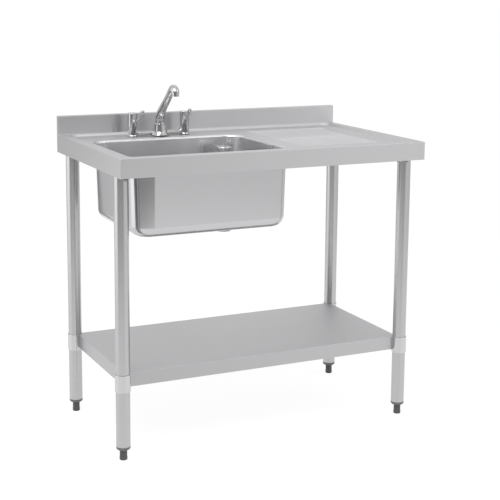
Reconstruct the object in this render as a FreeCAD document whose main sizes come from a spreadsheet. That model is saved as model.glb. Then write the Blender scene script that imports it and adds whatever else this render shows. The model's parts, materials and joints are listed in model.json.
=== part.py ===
"""Free-standing stainless steel sink unit: a deep bowl on the left, a fluted drainer on the right.

Sizes are in millimetres. X runs left to right, the front faces -Y, Z is up and the floor is Z = 0.
"""
import FreeCAD, Part
import math
import os
import re

import Sketcher
from FreeCAD import Placement, Rotation, Vector

SIZES = {
    # Worktop: one folded and pressed sheet
    "overall_width": 1000.0,
    "overall_depth": 600.0,
    "worktop_height": 900.0,
    "sheet_gauge": 1.2,
    "apron_height": 56.0,
    "hem_width": 12.0,
    "leg_notch_gap": 1.0,
    "fold_radius": 2.0,
    "upstand_height": 60.0,
    "upstand_depth": 20.0,
    "border_width": 30.0,
    "border_back": 4.0,
    "recess_drop": 7.0,
    "recess_slope": 7.0,
    "recess_corner": 30.0,
    # Drainer: a shallow tray with pressed flutes
    "drainer_length": 300.0,
    "drainer_from_right": 82.0,
    "drainer_from_front": 88.0,
    "drainer_from_back": 100.0,
    "drainer_drop": 3.0,
    "drainer_slope": 4.0,
    "drainer_corner": 22.0,
    "flute_pitch": 20.0,
    "flute_rise": 1.8,
    "flute_margin": 16.0,
    # Bowl
    "bowl_length": 500.0,
    "bowl_depth": 236.0,
    "bowl_gauge": 1.0,
    "bowl_corner": 60.0,
    "bowl_base_radius": 30.0,
    "bowl_taper": 7.0,
    "bowl_lip": 7.0,
    "bowl_from_left": 62.0,
    "bowl_from_front": 48.0,
    "bowl_from_back": 152.0,
    # Waste in the back right corner of the bowl
    "waste_from_side": 80.0,
    "waste_from_back": 76.0,
    "waste_dish_diameter": 96.0,
    "waste_dish_depth": 4.0,
    "waste_dish_gap": 1.0,
    "waste_flange_diameter": 86.0,
    "waste_flange_gauge": 2.5,
    "waste_flange_bevel": 3.0,
    "waste_throat": 43.0,
    "waste_thread": 47.8,
    "waste_shank": 48.4,
    "waste_tail_length": 62.0,
    "waste_hole_gap": 0.3,
    "waste_seal_gauge": 2.0,
    "waste_seal_width": 12.0,
    "waste_nut_size": 62.0,
    "waste_nut_height": 10.0,
    # Standpipe overflow
    "standpipe_diameter": 40.0,
    "standpipe_wall": 1.5,
    "standpipe_below_deck": 27.0,
    "standpipe_cap_diameter": 50.0,
    "standpipe_cap_height": 6.0,
    "standpipe_window_width": 34.0,
    "standpipe_window_height": 20.0,
    "standpipe_turn": 25.0,
    "bung_height": 24.0,
    "bung_seat_depth": 12.0,
    "bung_taper": 0.5,
    "bung_play": 0.3,
    "bung_brim": 3.0,
    # Legs, feet and fixings
    "leg_inset_x": 28.0,
    "leg_inset_y": 73.0,
    "leg_diameter": 42.4,
    "leg_wall": 1.2,
    "channel_width": 38.0,
    "channel_height": 25.0,
    "channel_gauge": 1.5,
    "channel_end_gap": 14.0,
    "socket_length": 70.0,
    "socket_wall": 2.5,
    "socket_gap": 0.2,
    "socket_plate": 3.0,
    "leg_screw_below_apron": 11.0,
    "leg_screw_shank": 6.0,
    "leg_screw_head": 11.0,
    "leg_screw_head_height": 3.2,
    "leg_screw_angle": 15.0,
    "foot_stem_length": 31.0,
    "foot_stem_diameter": 22.0,
    "foot_pad_diameter": 23.2,
    "foot_pad_height": 9.0,
    "foot_running_gap": 0.05,
    "foot_adjustment": 20.0,
    "foot_engagement": 18.0,
    "foot_chamfer": 1.5,
    "foot_collar_height": 11.0,
    "foot_insert_depth": 30.0,
    # Lower shelf
    "shelf_height": 260.0,
    "shelf_rim": 42.0,
    "shelf_gauge": 1.0,
    "shelf_inset_x": 33.0,
    "shelf_inset_y": 75.0,
    "shelf_hem": 12.0,
    "shelf_fold": 2.0,
    "sleeve_length": 52.0,
    "sleeve_wall": 2.0,
    "sleeve_gap": 0.15,
    "sleeve_edge": 1.4,
    "sleeve_screw": 6.0,
    "sleeve_screw_up": 5.5,
    "sleeve_screw_proud": 1.0,
    "shelf_channel_end_gap": 4.0,
    "hat_width": 50.0,
    "hat_height": 25.0,
    "hat_flange": 15.0,
    # Two-hole mixer tap
    "tap_hole_spacing": 180.0,
    "tap_setback": 73.0,
    "tap_hole": 24.0,
    "tap_body_height": 30.0,
    "pillar_diameter": 30.0,
    "pillar_base_diameter": 32.0,
    "pillar_base_rim": 2.5,
    "tail_diameter": 20.9,
    "tail_shank": 21.5,
    "tail_length": 52.0,
    "tail_bore": 13.0,
    "bridge_height": 14.0,
    "bridge_width": 17.0,
    "bridge_round": 6.0,
    "bridge_sweep": 13.0,
    "bridge_lift": 1.5,
    "bridge_below_pillar": 1.0,
    "bridge_below_boss": 4.0,
    "waterway": 7.0,
    "waterway_forward": 5.6,
    "spout_forward": 12.0,
    "boss_diameter": 37.0,
    "boss_flare_diameter": 58.0,
    "boss_height": 36.0,
    "boss_rim": 2.0,
    "boss_bell": 4.0,
    "boss_bell_radius": 14.0,
    "boss_neck_radius": 30.0,
    "boss_draft": 1.0,
    "socket_floor_gap": 1.0,
    "head_diameter": 31.0,
    "head_height": 45.0,
    "head_gap": 0.4,
    "head_round": 2.5,
    "valve_diameter": 20.0,
    "valve_rise": 26.0,
    "valve_stem": 8.0,
    "valve_floor": 3.5,
    "valve_chamber_height": 9.0,
    "valve_chamber_gap": 2.0,
    "valve_shoulder": 1.0,
    "lever_reach": 66.0,
    "lever_angle": 41.0,
    "lever_root_height": 50.0,
    "lever_neck": 9.0,
    "lever_tip_width": 13.0,
    "lever_tip_length": 20.0,
    "lever_toe_in": 8.0,
    "lever_knee": 27.0,
    "lever_knee_radius": 14.0,
    "tap_seal_diameter": 31.0,
    "tap_seal_gauge": 1.5,
    "backnut_size": 30.0,
    "backnut_height": 8.0,
    "backnut_washer": 34.0,
    "backnut_washer_gauge": 2.0,
    # Swivel spout
    "spout_reach": 133.0,
    "spout_outlet_height": 139.0,
    "spout_rise_angle": 40.0,
    "spout_knee_height": 70.0,
    "spout_knee_radius": 60.0,
    "spout_crook_radius": 18.0,
    "spout_root_diameter": 36.0,
    "spout_waist_diameter": 22.5,
    "spout_mouth_diameter": 22.0,
    "spout_bore_share": 0.6,
    "spout_gap": 0.3,
    "spigot_diameter": 18.0,
    "spigot_bore": 9.0,
    "spigot_length": 24.0,
    "spigot_clearance": 0.05,
    "ring_section": 2.4,
    "aerator_diameter": 19.0,
    "aerator_length": 12.0,
}

DECK = "(worktop_height - recess_drop)"
DECK_UNDER = "(worktop_height - recess_drop - sheet_gauge)"
APRON_FOOT = "(worktop_height - apron_height)"
HALF_WIDTH = "(overall_width / 2)"
HALF_DEPTH = "(overall_depth / 2)"
UPSTAND_FACE = "(overall_depth / 2 - upstand_depth)"
RECESS_LENGTH = "(overall_width - 2 * border_width)"
RECESS_WIDTH = "(overall_depth - upstand_depth - border_back - border_width)"
RECESS_Y = "((border_width - upstand_depth - border_back) / 2)"
DRAINER_X = "(overall_width / 2 - drainer_from_right - drainer_length / 2)"
DRAINER_WIDTH = "(overall_depth - drainer_from_front - drainer_from_back)"
DRAINER_Y = "((drainer_from_front - drainer_from_back) / 2)"
DRAINER_UNDER = "(worktop_height - recess_drop - drainer_drop - sheet_gauge)"
BOWL_WIDTH = "(overall_depth - bowl_from_front - bowl_from_back)"
BOWL_X = "(bowl_from_left + bowl_length / 2 - overall_width / 2)"
BOWL_Y = "((bowl_from_front - bowl_from_back) / 2)"
BOWL_FLOOR = "(worktop_height - recess_drop - bowl_depth)"
WASTE_X = f"({BOWL_X} + bowl_length / 2 - waste_from_side)"
WASTE_Y = f"({BOWL_Y} + {BOWL_WIDTH} / 2 - waste_from_back)"
WASTE_SEAT = f"({BOWL_FLOOR} - waste_dish_depth)"
WASTE_UNDER = f"({WASTE_SEAT} - bowl_gauge)"
WASTE_NUT_FOOT = f"({WASTE_UNDER} - waste_seal_gauge - waste_nut_height)"
FLANGE_TOP = f"({WASTE_SEAT} + waste_seal_gauge / 2 + waste_flange_gauge)"
LEG_X = "(overall_width / 2 - leg_inset_x)"
LEG_Y = "(overall_depth / 2 - leg_inset_y)"
LEG_FOOT = "(foot_stem_length + foot_collar_height)"
FOOT_TOP = "(foot_stem_length + foot_adjustment + foot_engagement)"
LEG_BORE = "(leg_diameter - 2 * leg_wall)"
CHANNEL_UNDER = f"({DECK_UNDER} - channel_height)"
SOCKET_TOP = f"({CHANNEL_UNDER} - socket_plate)"
SHELF_FOOT = "(shelf_height - shelf_rim)"
SLEEVE_BORE = "(leg_diameter + 2 * sleeve_gap)"
SLEEVE_OUTSIDE = f"({SLEEVE_BORE} + 2 * sleeve_wall)"
TAP_X = BOWL_X
TAP_Y = f"({UPSTAND_FACE} - tap_setback)"
TAP_SEAT = f"({DECK} + tap_seal_gauge)"
BACKNUT_FOOT = f"({DECK_UNDER} - backnut_washer_gauge - backnut_height)"
SPOUT_Y = f"({TAP_Y} - spout_forward)"
SPOUT_SEAT = f"({TAP_SEAT} + boss_height)"
HEAD_SEAT = f"({TAP_SEAT} + tap_body_height + head_gap)"
RING_GROOVE = "(ring_section + 2 * spigot_clearance)"
RING_PLACES = (0.35, 0.75)
IN_ROUND_BAR = 0.42  # share of a bar's diameter where a flat face still runs into it
SAME = 0.01  # places closer than this are the same place

CORNERS = {
    "front_left": (-1, -1),
    "front_right": (1, -1),
    "back_left": (-1, 1),
    "back_right": (1, 1),
}

doc = FreeCAD.newDocument("sink_unit")
sheet = doc.addObject("Spreadsheet::Sheet", "Sizes")
nodes = {}


def fill_sheet():
    """Write each size and its alias into the spreadsheet."""
    for row, (alias, number) in enumerate(SIZES.items(), start=1):
        sheet.set(f"A{row}", alias)
        sheet.set(f"B{row}", str(number))
        sheet.setAlias(f"B{row}", alias)
    doc.recompute()


def bound(formula):
    """A formula of size names as an expression that reads the spreadsheet."""

    def in_sheet(word):
        return f"Sizes.{word[0]}" if word[0] in SIZES else word[0]

    return re.sub(r"[a-z][a-z_]+", in_sheet, formula)


def size(formula):
    """The value of a formula of size names."""
    return float(sheet.evalExpression(bound(formula)))


def bind(thing, prop, formula):
    """Tie one property of an object to a formula of sizes."""
    thing.setExpression(prop, bound(formula))


def node(thing, name):
    """Register a finished piece under its name."""
    thing.Label = name
    nodes[name] = thing
    return thing


def place(thing, x="0", y="0", z="0"):
    """Tie the position of an object to formulas of sizes."""
    bind(thing, "Placement.Base.x", x)
    bind(thing, "Placement.Base.y", y)
    bind(thing, "Placement.Base.z", z)


# ---------------------------------------------------------------- sketches


def new_body(label):
    body = doc.addObject("PartDesign::Body", "Body")
    body.Label = label
    return body


def new_sketch(body, plane="XY", offset="0"):
    """A sketch on one of the body's own planes, moved along the plane's normal."""
    sketch = body.newObject("Sketcher::SketchObject", "Sketch")
    support = [item for item in body.Origin.OriginFeatures if item.Role == f"{plane}_Plane"][0]
    sketch.AttachmentSupport = (support, [""])
    sketch.MapMode = "FlatFace"
    bind(sketch, "AttachmentOffset.Base.z", offset)
    return sketch


def dimension(sketch, kind, formula, *where):
    """Add one driving dimension to a sketch and tie it to a formula."""
    index = sketch.addConstraint(Sketcher.Constraint(kind, *where, size(formula)))
    bind(sketch, f"Constraints[{index}]", formula)


def polygon(sketch, points):
    """A closed outline of straight edges through points given as formulas."""
    corners = [Vector(size(x), size(y), 0) for x, y in points]
    count = len(points)
    first = sketch.GeometryCount
    for index in range(count):
        sketch.addGeometry(Part.LineSegment(corners[index], corners[(index + 1) % count]), False)
    for index in range(count):
        following = first + (index + 1) % count
        sketch.addConstraint(Sketcher.Constraint("Coincident", first + index, 2, following, 1))
    for index, (x, y) in enumerate(points):
        dimension(sketch, "DistanceX", x, -1, 1, first + index, 1)
        dimension(sketch, "DistanceY", y, -1, 1, first + index, 1)


def rectangle(sketch, left, right, near, far):
    polygon(sketch, [(left, near), (right, near), (right, far), (left, far)])


def circle(sketch, x, y, diameter):
    centre = Vector(size(x), size(y), 0)
    index = sketch.addGeometry(Part.Circle(centre, Vector(0, 0, 1), size(diameter) / 2), False)
    dimension(sketch, "DistanceX", x, -1, 1, index, 3)
    dimension(sketch, "DistanceY", y, -1, 1, index, 3)
    dimension(sketch, "Diameter", diameter, index)


def rounded_rectangle(sketch, x, y, length, width, radius):
    """A rectangle about (x, y) with equal tangent arcs at its corners."""
    cx, cy, r = size(x), size(y), size(radius)
    dx, dy = size(length) / 2 - r, size(width) / 2 - r
    up = Vector(0, 0, 1)
    turns = [(dx, -dy, -90), (dx, dy, 0), (-dx, dy, 90), (-dx, -dy, 180)]
    arcs = []
    for ax, ay, start in turns:
        ring = Part.Circle(Vector(cx + ax, cy + ay, 0), up, r)
        arc = Part.ArcOfCircle(ring, math.radians(start), math.radians(start + 90))
        arcs.append(sketch.addGeometry(arc, False))
    lines = []
    for index in range(4):
        start = sketch.Geometry[arcs[index]].EndPoint
        end = sketch.Geometry[arcs[(index + 1) % 4]].StartPoint
        lines.append(sketch.addGeometry(Part.LineSegment(start, end), False))
    for index in range(4):
        sketch.addConstraint(Sketcher.Constraint("Tangent", arcs[index], 2, lines[index], 1))
        sketch.addConstraint(Sketcher.Constraint("Tangent", lines[index], 2, arcs[(index + 1) % 4], 1))
        kind = "Horizontal" if index % 2 else "Vertical"
        sketch.addConstraint(Sketcher.Constraint(kind, lines[index]))
    for index in range(1, 4):
        sketch.addConstraint(Sketcher.Constraint("Equal", arcs[0], arcs[index]))
    dimension(sketch, "Radius", radius, arcs[0])
    right, far, left, near = lines
    dimension(sketch, "DistanceX", f"{x} + {length} / 2", -1, 1, right, 1)
    dimension(sketch, "DistanceX", f"{x} - {length} / 2", -1, 1, left, 1)
    dimension(sketch, "DistanceY", f"{y} + {width} / 2", -1, 1, far, 1)
    dimension(sketch, "DistanceY", f"{y} - {width} / 2", -1, 1, near, 1)


# ---------------------------------------------------------------- features


def feature(body, kind, sketch=None):
    made = body.newObject(f"PartDesign::{kind}", kind)
    if sketch is not None:
        made.Profile = sketch
    return made


def pad(body, sketch, length, both_ways=False, backwards=False):
    made = feature(body, "Pad", sketch)
    bind(made, "Length", length)
    made.SideType = "Symmetric" if both_ways else "One side"
    made.Reversed = backwards
    return made


def pocket(body, sketch, length, upwards=False, both_ways=False):
    """Cut along the sketch's normal if upwards, and against it if not."""
    made = feature(body, "Pocket", sketch)
    bind(made, "Length", length)
    made.SideType = "Symmetric" if both_ways else "One side"
    made.Reversed = upwards
    return made


def loft(body, first, last, cut=False):
    made = feature(body, "SubtractiveLoft" if cut else "AdditiveLoft", first)
    made.Sections = [last]
    return made


def turned(body, sketch, angle="360", cut=False, axis="V_Axis"):
    """Revolve a sketch about its own vertical or horizontal axis."""
    made = feature(body, "Groove" if cut else "Revolution", sketch)
    made.ReferenceAxis = (sketch, [axis])
    bind(made, "Angle", angle)
    return made


def soften(body, kind, radius, wanted):
    """Fillet or chamfer the edges of a body for which wanted(edge) is true."""
    doc.recompute()
    names = [f"Edge{index}" for index, edge in enumerate(body.Shape.Edges, start=1) if wanted(edge)]
    base = body.Tip
    made = feature(body, kind)
    made.Base = (base, names)
    bind(made, "Radius" if kind == "Fillet" else "Size", radius)
    return made


def spans(edge, axis, low, high):
    """Whether an edge keeps within low and high along an axis."""
    box = edge.BoundBox
    ends = {"x": (box.XMin, box.XMax), "y": (box.YMin, box.YMax), "z": (box.ZMin, box.ZMax)}[axis]
    return ends[0] >= low - SAME and ends[1] <= high + SAME


def at_level(edge, level):
    return spans(edge, "z", level, level)


def is_upright(edge):
    box = edge.BoundBox
    return box.XLength < SAME and box.YLength < SAME


def lathe(label, profile):
    """A body turned about its own Z axis from an outline of (radius, height) formulas."""
    body = new_body(label)
    sketch = new_sketch(body, "XZ")
    polygon(sketch, profile)
    turned(body, sketch)
    return body


def tube(label, outside, inside, length):
    """A straight round tube standing on its own origin."""
    body = new_body(label)
    sketch = new_sketch(body)
    circle(sketch, "0", "0", outside)
    circle(sketch, "0", "0", inside)
    pad(body, sketch, length)
    return body


def join(kind, label, parts):
    """Fuse or cut finished shapes into one object."""
    if kind == "Fuse":
        made = doc.addObject("Part::MultiFuse", "Fusion")
        made.Shapes = parts
        made.Refine = True
    else:
        made = doc.addObject("Part::Cut", "Cut")
        made.Base, made.Tool = parts
        made.Refine = True
    made.Label = label
    return made


def group(name, parts):
    """Several separate solids of one kind under one name."""
    made = doc.addObject("Part::Compound", "Group")
    made.Links = parts
    return node(made, name)


# ---------------------------------------------------------------- worktop


def make_worktop():
    body = new_body("worktop")
    slab = new_sketch(body, offset=APRON_FOOT)
    rectangle(slab, f"-{HALF_WIDTH}", HALF_WIDTH, f"-{HALF_DEPTH}", HALF_DEPTH)
    pad(body, slab, "apron_height")
    upstand = new_sketch(body, offset="worktop_height")
    rectangle(upstand, f"-{HALF_WIDTH}", HALF_WIDTH, UPSTAND_FACE, HALF_DEPTH)
    pad(body, upstand, "upstand_height")
    round_outer_folds(body)
    hollow_worktop(body)
    press_tray(body, "worktop_height", "recess_drop", "recess_slope", recess_outline)
    press_tray(body, DECK, "drainer_drop", "drainer_slope", drainer_outline)
    press_flutes(body)
    cut_deck_openings(body)
    return node(body, "worktop")


def round_outer_folds(body):
    """Small radii where the sheet is folded: corners, front and side edges, and the upstand's top."""
    top = size("worktop_height")
    crest = size("worktop_height + upstand_height")
    half_width, half_depth, face = size(HALF_WIDTH), size(HALF_DEPTH), size(UPSTAND_FACE)

    def outer_corner(edge):
        box = edge.BoundBox
        on_side = abs(abs(box.XMin) - half_width) < SAME
        on_front_or_back = abs(abs(box.YMin) - half_depth) < SAME
        return is_upright(edge) and on_side and on_front_or_back

    def long_fold(edge):
        long_way = edge.BoundBox.XLength > half_width
        front = at_level(edge, top) and spans(edge, "y", -half_depth, -half_depth)
        foot = at_level(edge, top) and spans(edge, "y", face, face)
        crests = at_level(edge, crest)
        return long_way and (front or foot or crests)

    soften(body, "Fillet", "fold_radius", outer_corner)
    soften(body, "Fillet", "fold_radius", long_fold)


def hollow_worktop(body):
    """Open the underside down to the sheet's thickness and leave the turned-in hems."""
    inside = new_sketch(body, offset=f"{APRON_FOOT} + sheet_gauge")
    wall_x, wall_y = f"{HALF_WIDTH} - sheet_gauge", f"{HALF_DEPTH} - sheet_gauge"
    rectangle(inside, f"-({wall_x})", wall_x, f"-({wall_y})", wall_y)
    pocket(body, inside, "apron_height - 2 * sheet_gauge", upwards=True)
    mouth = new_sketch(body, offset=APRON_FOOT)
    lip_x, lip_y = f"{HALF_WIDTH} - hem_width", f"{HALF_DEPTH} - hem_width"
    rectangle(mouth, f"-({lip_x})", lip_x, f"-({lip_y})", lip_y)
    pocket(body, mouth, "2 * sheet_gauge", upwards=True)
    notches = new_sketch(body, offset=APRON_FOOT)
    for side_x, side_y in CORNERS.values():
        circle(notches, f"{side_x} * {LEG_X}", f"{side_y} * {LEG_Y}", "leg_diameter + 2 * leg_notch_gap")
    pocket(body, notches, "2 * sheet_gauge", upwards=True)
    upright = new_sketch(body, offset="worktop_height - 2 * sheet_gauge")
    rectangle(upright, f"-({wall_x})", wall_x, f"{UPSTAND_FACE} + sheet_gauge", wall_y)
    pocket(body, upright, "upstand_height + sheet_gauge", upwards=True)


def recess_outline(sketch, inset):
    length, width = f"({RECESS_LENGTH} - 2 * ({inset}))", f"({RECESS_WIDTH} - 2 * ({inset}))"
    rounded_rectangle(sketch, "0", RECESS_Y, length, width, f"(recess_corner - ({inset}))")


def drainer_outline(sketch, inset):
    length, width = f"(drainer_length - 2 * ({inset}))", f"({DRAINER_WIDTH} - 2 * ({inset}))"
    rounded_rectangle(sketch, DRAINER_X, DRAINER_Y, length, width, f"(drainer_corner - ({inset}))")


def press_tray(body, level, drop, slope, outline):
    """Press a tray with sloping sides into the sheet, keeping the sheet's thickness."""
    for below, cut in ((" - sheet_gauge", False), ("", True)):
        top = new_sketch(body, offset=f"{level}{below}")
        outline(top, "0")
        bottom = new_sketch(body, offset=f"{level}{below} - {drop}")
        outline(bottom, slope)
        loft(body, top, bottom, cut)


def press_flutes(body):
    """Half-round flutes across the drainer tray, raised above it and hollow below."""
    count = int(size(f"{DRAINER_WIDTH} - 2 * flute_margin") // size("flute_pitch")) + 1
    first_y = f"({DRAINER_Y} - {(count - 1) / 2} * flute_pitch)"
    reach = "(drainer_length / 2 - flute_margin)"
    pressed = []
    for radius, cut in (("(flute_rise + sheet_gauge)", False), ("flute_rise", True)):
        sketch = new_sketch(body, offset=DRAINER_UNDER)
        half_capsule(sketch, DRAINER_X, first_y, reach, radius)
        made = feature(body, "Groove" if cut else "Revolution", sketch)
        made.ReferenceAxis = (sketch, ["Edge1"])
        made.Angle = 180
        pressed.append(made)
    doc.recompute()
    pattern = feature(body, "LinearPattern")
    pattern.Originals = pressed
    pattern.Direction = (pressed[0].Profile[0], ["V_Axis"])
    pattern.Occurrences = count
    bind(pattern, "Length", f"{count - 1} * flute_pitch")
    body.Tip = pattern


def half_capsule(sketch, x, y, reach, radius):
    """Half of a long capsule, with its straight edge first, for turning into a half-round flute."""
    cx, cy, half, r = size(x), size(y), size(reach), size(radius)
    up = Vector(0, 0, 1)
    left, right = Vector(cx - half, cy, 0), Vector(cx + half, cy, 0)
    axis = sketch.addGeometry(Part.LineSegment(left, right), False)
    end_r = Part.ArcOfCircle(Part.Circle(Vector(cx + half - r, cy, 0), up, r), 0, math.pi / 2)
    crest = Part.LineSegment(Vector(cx + half - r, cy + r, 0), Vector(cx - half + r, cy + r, 0))
    end_l = Part.ArcOfCircle(Part.Circle(Vector(cx - half + r, cy, 0), up, r), math.pi / 2, math.pi)
    arc_r = sketch.addGeometry(end_r, False)
    top = sketch.addGeometry(crest, False)
    arc_l = sketch.addGeometry(end_l, False)
    sketch.addConstraint(Sketcher.Constraint("Coincident", axis, 2, arc_r, 1))
    sketch.addConstraint(Sketcher.Constraint("Tangent", arc_r, 2, top, 1))
    sketch.addConstraint(Sketcher.Constraint("Tangent", top, 2, arc_l, 1))
    sketch.addConstraint(Sketcher.Constraint("Coincident", arc_l, 2, axis, 1))
    sketch.addConstraint(Sketcher.Constraint("Horizontal", axis))
    sketch.addConstraint(Sketcher.Constraint("PointOnObject", arc_r, 3, axis))
    sketch.addConstraint(Sketcher.Constraint("PointOnObject", arc_l, 3, axis))
    dimension(sketch, "Radius", radius, arc_r)
    dimension(sketch, "DistanceX", f"{x} - {reach}", -1, 1, axis, 1)
    dimension(sketch, "DistanceX", f"{x} + {reach}", -1, 1, axis, 2)
    dimension(sketch, "DistanceY", y, -1, 1, axis, 1)


def cut_deck_openings(body):
    """The bowl's opening, to the outer edge of its lip, and the two tap holes."""
    opening = new_sketch(body, offset=DECK)
    length, width = "(bowl_length + 2 * bowl_lip)", f"({BOWL_WIDTH} + 2 * bowl_lip)"
    rounded_rectangle(opening, BOWL_X, BOWL_Y, length, width, "(bowl_corner + bowl_lip)")
    pocket(body, opening, "2 * sheet_gauge")
    holes = new_sketch(body, offset=DECK)
    for side in ("-", "+"):
        circle(holes, f"{TAP_X} {side} tap_hole_spacing / 2", TAP_Y, "tap_hole")
    pocket(body, holes, "2 * sheet_gauge")


# ---------------------------------------------------------------- bowl


def bowl_section(body, level, grow, radius):
    sketch = new_sketch(body, offset=level)
    length, width = f"(bowl_length + 2 * ({grow}))", f"({BOWL_WIDTH} + 2 * ({grow}))"
    rounded_rectangle(sketch, BOWL_X, BOWL_Y, length, width, f"({radius})")
    return sketch


def bowl_form(label, wall, rim_from, rim_height, rim_grow, lip):
    """The bowl's outside (wall = its thickness) or its empty inside (wall = 0), with rim and dish."""
    body = new_body(label)
    rim = bowl_section(body, rim_from, rim_grow, f"bowl_corner + {rim_grow}")
    pad(body, rim, rim_height)
    mouth = bowl_section(body, rim_from, wall, f"bowl_corner + {wall}")
    floor_level = f"{BOWL_FLOOR} - {wall}"
    base = bowl_section(body, floor_level, f"{wall} - bowl_taper", f"bowl_corner + {wall} - bowl_taper")
    loft(body, mouth, base)
    low = size(floor_level)
    rim_level = size(rim_from)
    reach_x, reach_y = size(f"bowl_length / 2 + {wall}"), size(f"{BOWL_WIDTH} / 2 + {wall}")
    x, y = size(BOWL_X), size(BOWL_Y)
    soften(body, "Fillet", f"bowl_base_radius + {wall}", lambda edge: at_level(edge, low))

    def lip_edge(edge):
        within = spans(edge, "x", x - reach_x, x + reach_x) and spans(edge, "y", y - reach_y, y + reach_y)
        return at_level(edge, rim_level) and within

    soften(body, "Fillet", lip, lip_edge)
    dish = new_sketch(body, "XZ", f"-{WASTE_Y}")
    top_r = f"waste_dish_diameter / 2 + {wall}"
    foot_r = f"waste_flange_diameter / 2 + waste_dish_gap + {wall}"
    above_floor = f"{floor_level} + bowl_gauge / 2"
    polygon(
        dish,
        [
            (WASTE_X, above_floor),
            (f"{WASTE_X} + {top_r}", above_floor),
            (f"{WASTE_X} + {top_r}", floor_level),
            (f"{WASTE_X} + {foot_r}", f"{floor_level} - waste_dish_depth"),
            (WASTE_X, f"{floor_level} - waste_dish_depth"),
        ],
    )
    made = feature(body, "Revolution", dish)
    made.ReferenceAxis = (dish, ["Edge5"])
    made.Angle = 360
    return body


def make_bowl():
    under_lip = "bowl_lip - 1.5 * bowl_gauge"
    outside = bowl_form("bowl outside", "bowl_gauge", DECK_UNDER, "sheet_gauge", "bowl_lip", under_lip)
    inside = bowl_form("bowl inside", "0", DECK, "2 * sheet_gauge", "bowl_lip + 2", "bowl_lip")
    hole = new_sketch(inside, offset=WASTE_SEAT)
    circle(hole, WASTE_X, WASTE_Y, "waste_shank + 2 * waste_hole_gap")
    pad(inside, hole, "4 * bowl_gauge", backwards=True)
    return node(join("Cut", "bowl", [outside, inside]), "bowl")


# ---------------------------------------------------------------- frame and fixings


def u_section(sketch, width, height, gauge):
    """A channel open downwards, with its back at height 0."""
    half, inner = f"{width} / 2", f"{width} / 2 - {gauge}"
    polygon(
        sketch,
        [
            (f"-({half})", f"-{height}"),
            (f"-({half})", "0"),
            (half, "0"),
            (half, f"-{height}"),
            (inner, f"-{height}"),
            (inner, f"-{gauge}"),
            (f"-({inner})", f"-{gauge}"),
            (f"-({inner})", f"-{height}"),
        ],
    )


def hat_section(sketch, width, height, flange, gauge):
    """A top-hat stiffener hanging from two flanges at height 0."""
    brim, side, inner = f"{width} / 2 + {flange}", f"{width} / 2", f"{width} / 2 - {gauge}"
    right = [
        (inner, f"{gauge} - {height}"),
        (inner, "0"),
        (brim, "0"),
        (brim, f"-{gauge}"),
        (side, f"-{gauge}"),
        (side, f"-{height}"),
    ]
    left = [(f"-({x})", z) for x, z in reversed(right)]
    polygon(sketch, right + left)


def make_channels():
    """Two channels that carry the legs, and a stiffener under the drainer."""
    for name, x in (("side_channel_left", f"-{LEG_X}"), ("side_channel_right", LEG_X)):
        body = new_body(name)
        sketch = new_sketch(body, "XZ")
        u_section(sketch, "channel_width", "channel_height", "channel_gauge")
        pad(body, sketch, "overall_depth - 2 * channel_end_gap", both_ways=True)
        place(body, x, "0", DECK_UNDER)
        node(body, name)
    body = new_body("drainer_channel")
    sketch = new_sketch(body, "XZ")
    hat_section(sketch, "hat_width", "hat_height", "hat_flange", "channel_gauge")
    pad(body, sketch, "overall_depth - 2 * channel_end_gap", both_ways=True)
    place(body, DRAINER_X, "0", DRAINER_UNDER)
    node(body, "drainer_channel")


def drill_screw_holes(body, side_x, side_y, height):
    """Two holes at right angles through one wall of a tube, the second towards the table's middle."""
    turn = side_x * side_y * size("leg_screw_angle") + (180 if side_y > 0 else 0)
    for plane, along_normal in (("XZ", True), ("YZ", side_x * side_y > 0)):
        hole = new_sketch(body, plane)
        hole.AttachmentOffset = Placement(Vector(0, 0, 0), Rotation(Vector(0, 1, 0), turn))
        circle(hole, "0", height, "leg_screw_shank")
        pocket(body, hole, "leg_diameter", upwards=along_normal)


def make_legs():
    """Four round legs, each over a short socket that hangs from a side channel."""
    screw_level = f"({APRON_FOOT} - leg_screw_below_apron)"
    for corner, (side_x, side_y) in CORNERS.items():
        x, y = f"{side_x} * {LEG_X}", f"{side_y} * {LEG_Y}"
        socket = new_body(f"leg_socket_{corner}")
        plate = new_sketch(socket)
        half_x, half_y = "channel_width / 2", "0.75 * leg_diameter"
        rectangle(plate, f"-{half_x}", half_x, f"-{half_y}", half_y)
        pad(socket, plate, "socket_plate")
        spigot = new_sketch(socket)
        circle(spigot, "0", "0", f"{LEG_BORE} - 2 * socket_gap")
        circle(spigot, "0", "0", f"{LEG_BORE} - 2 * socket_gap - 2 * socket_wall")
        pad(socket, spigot, "socket_length", backwards=True)
        drill_screw_holes(socket, side_x, side_y, f"{screw_level} - {SOCKET_TOP}")
        place(socket, x, y, SOCKET_TOP)
        node(socket, f"leg_socket_{corner}")

        leg = tube(f"leg_{corner}", "leg_diameter", LEG_BORE, f"{SOCKET_TOP} - {LEG_FOOT}")
        drill_screw_holes(leg, side_x, side_y, f"{screw_level} - {LEG_FOOT}")
        place(leg, x, y, LEG_FOOT)
        node(leg, f"leg_{corner}")


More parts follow.
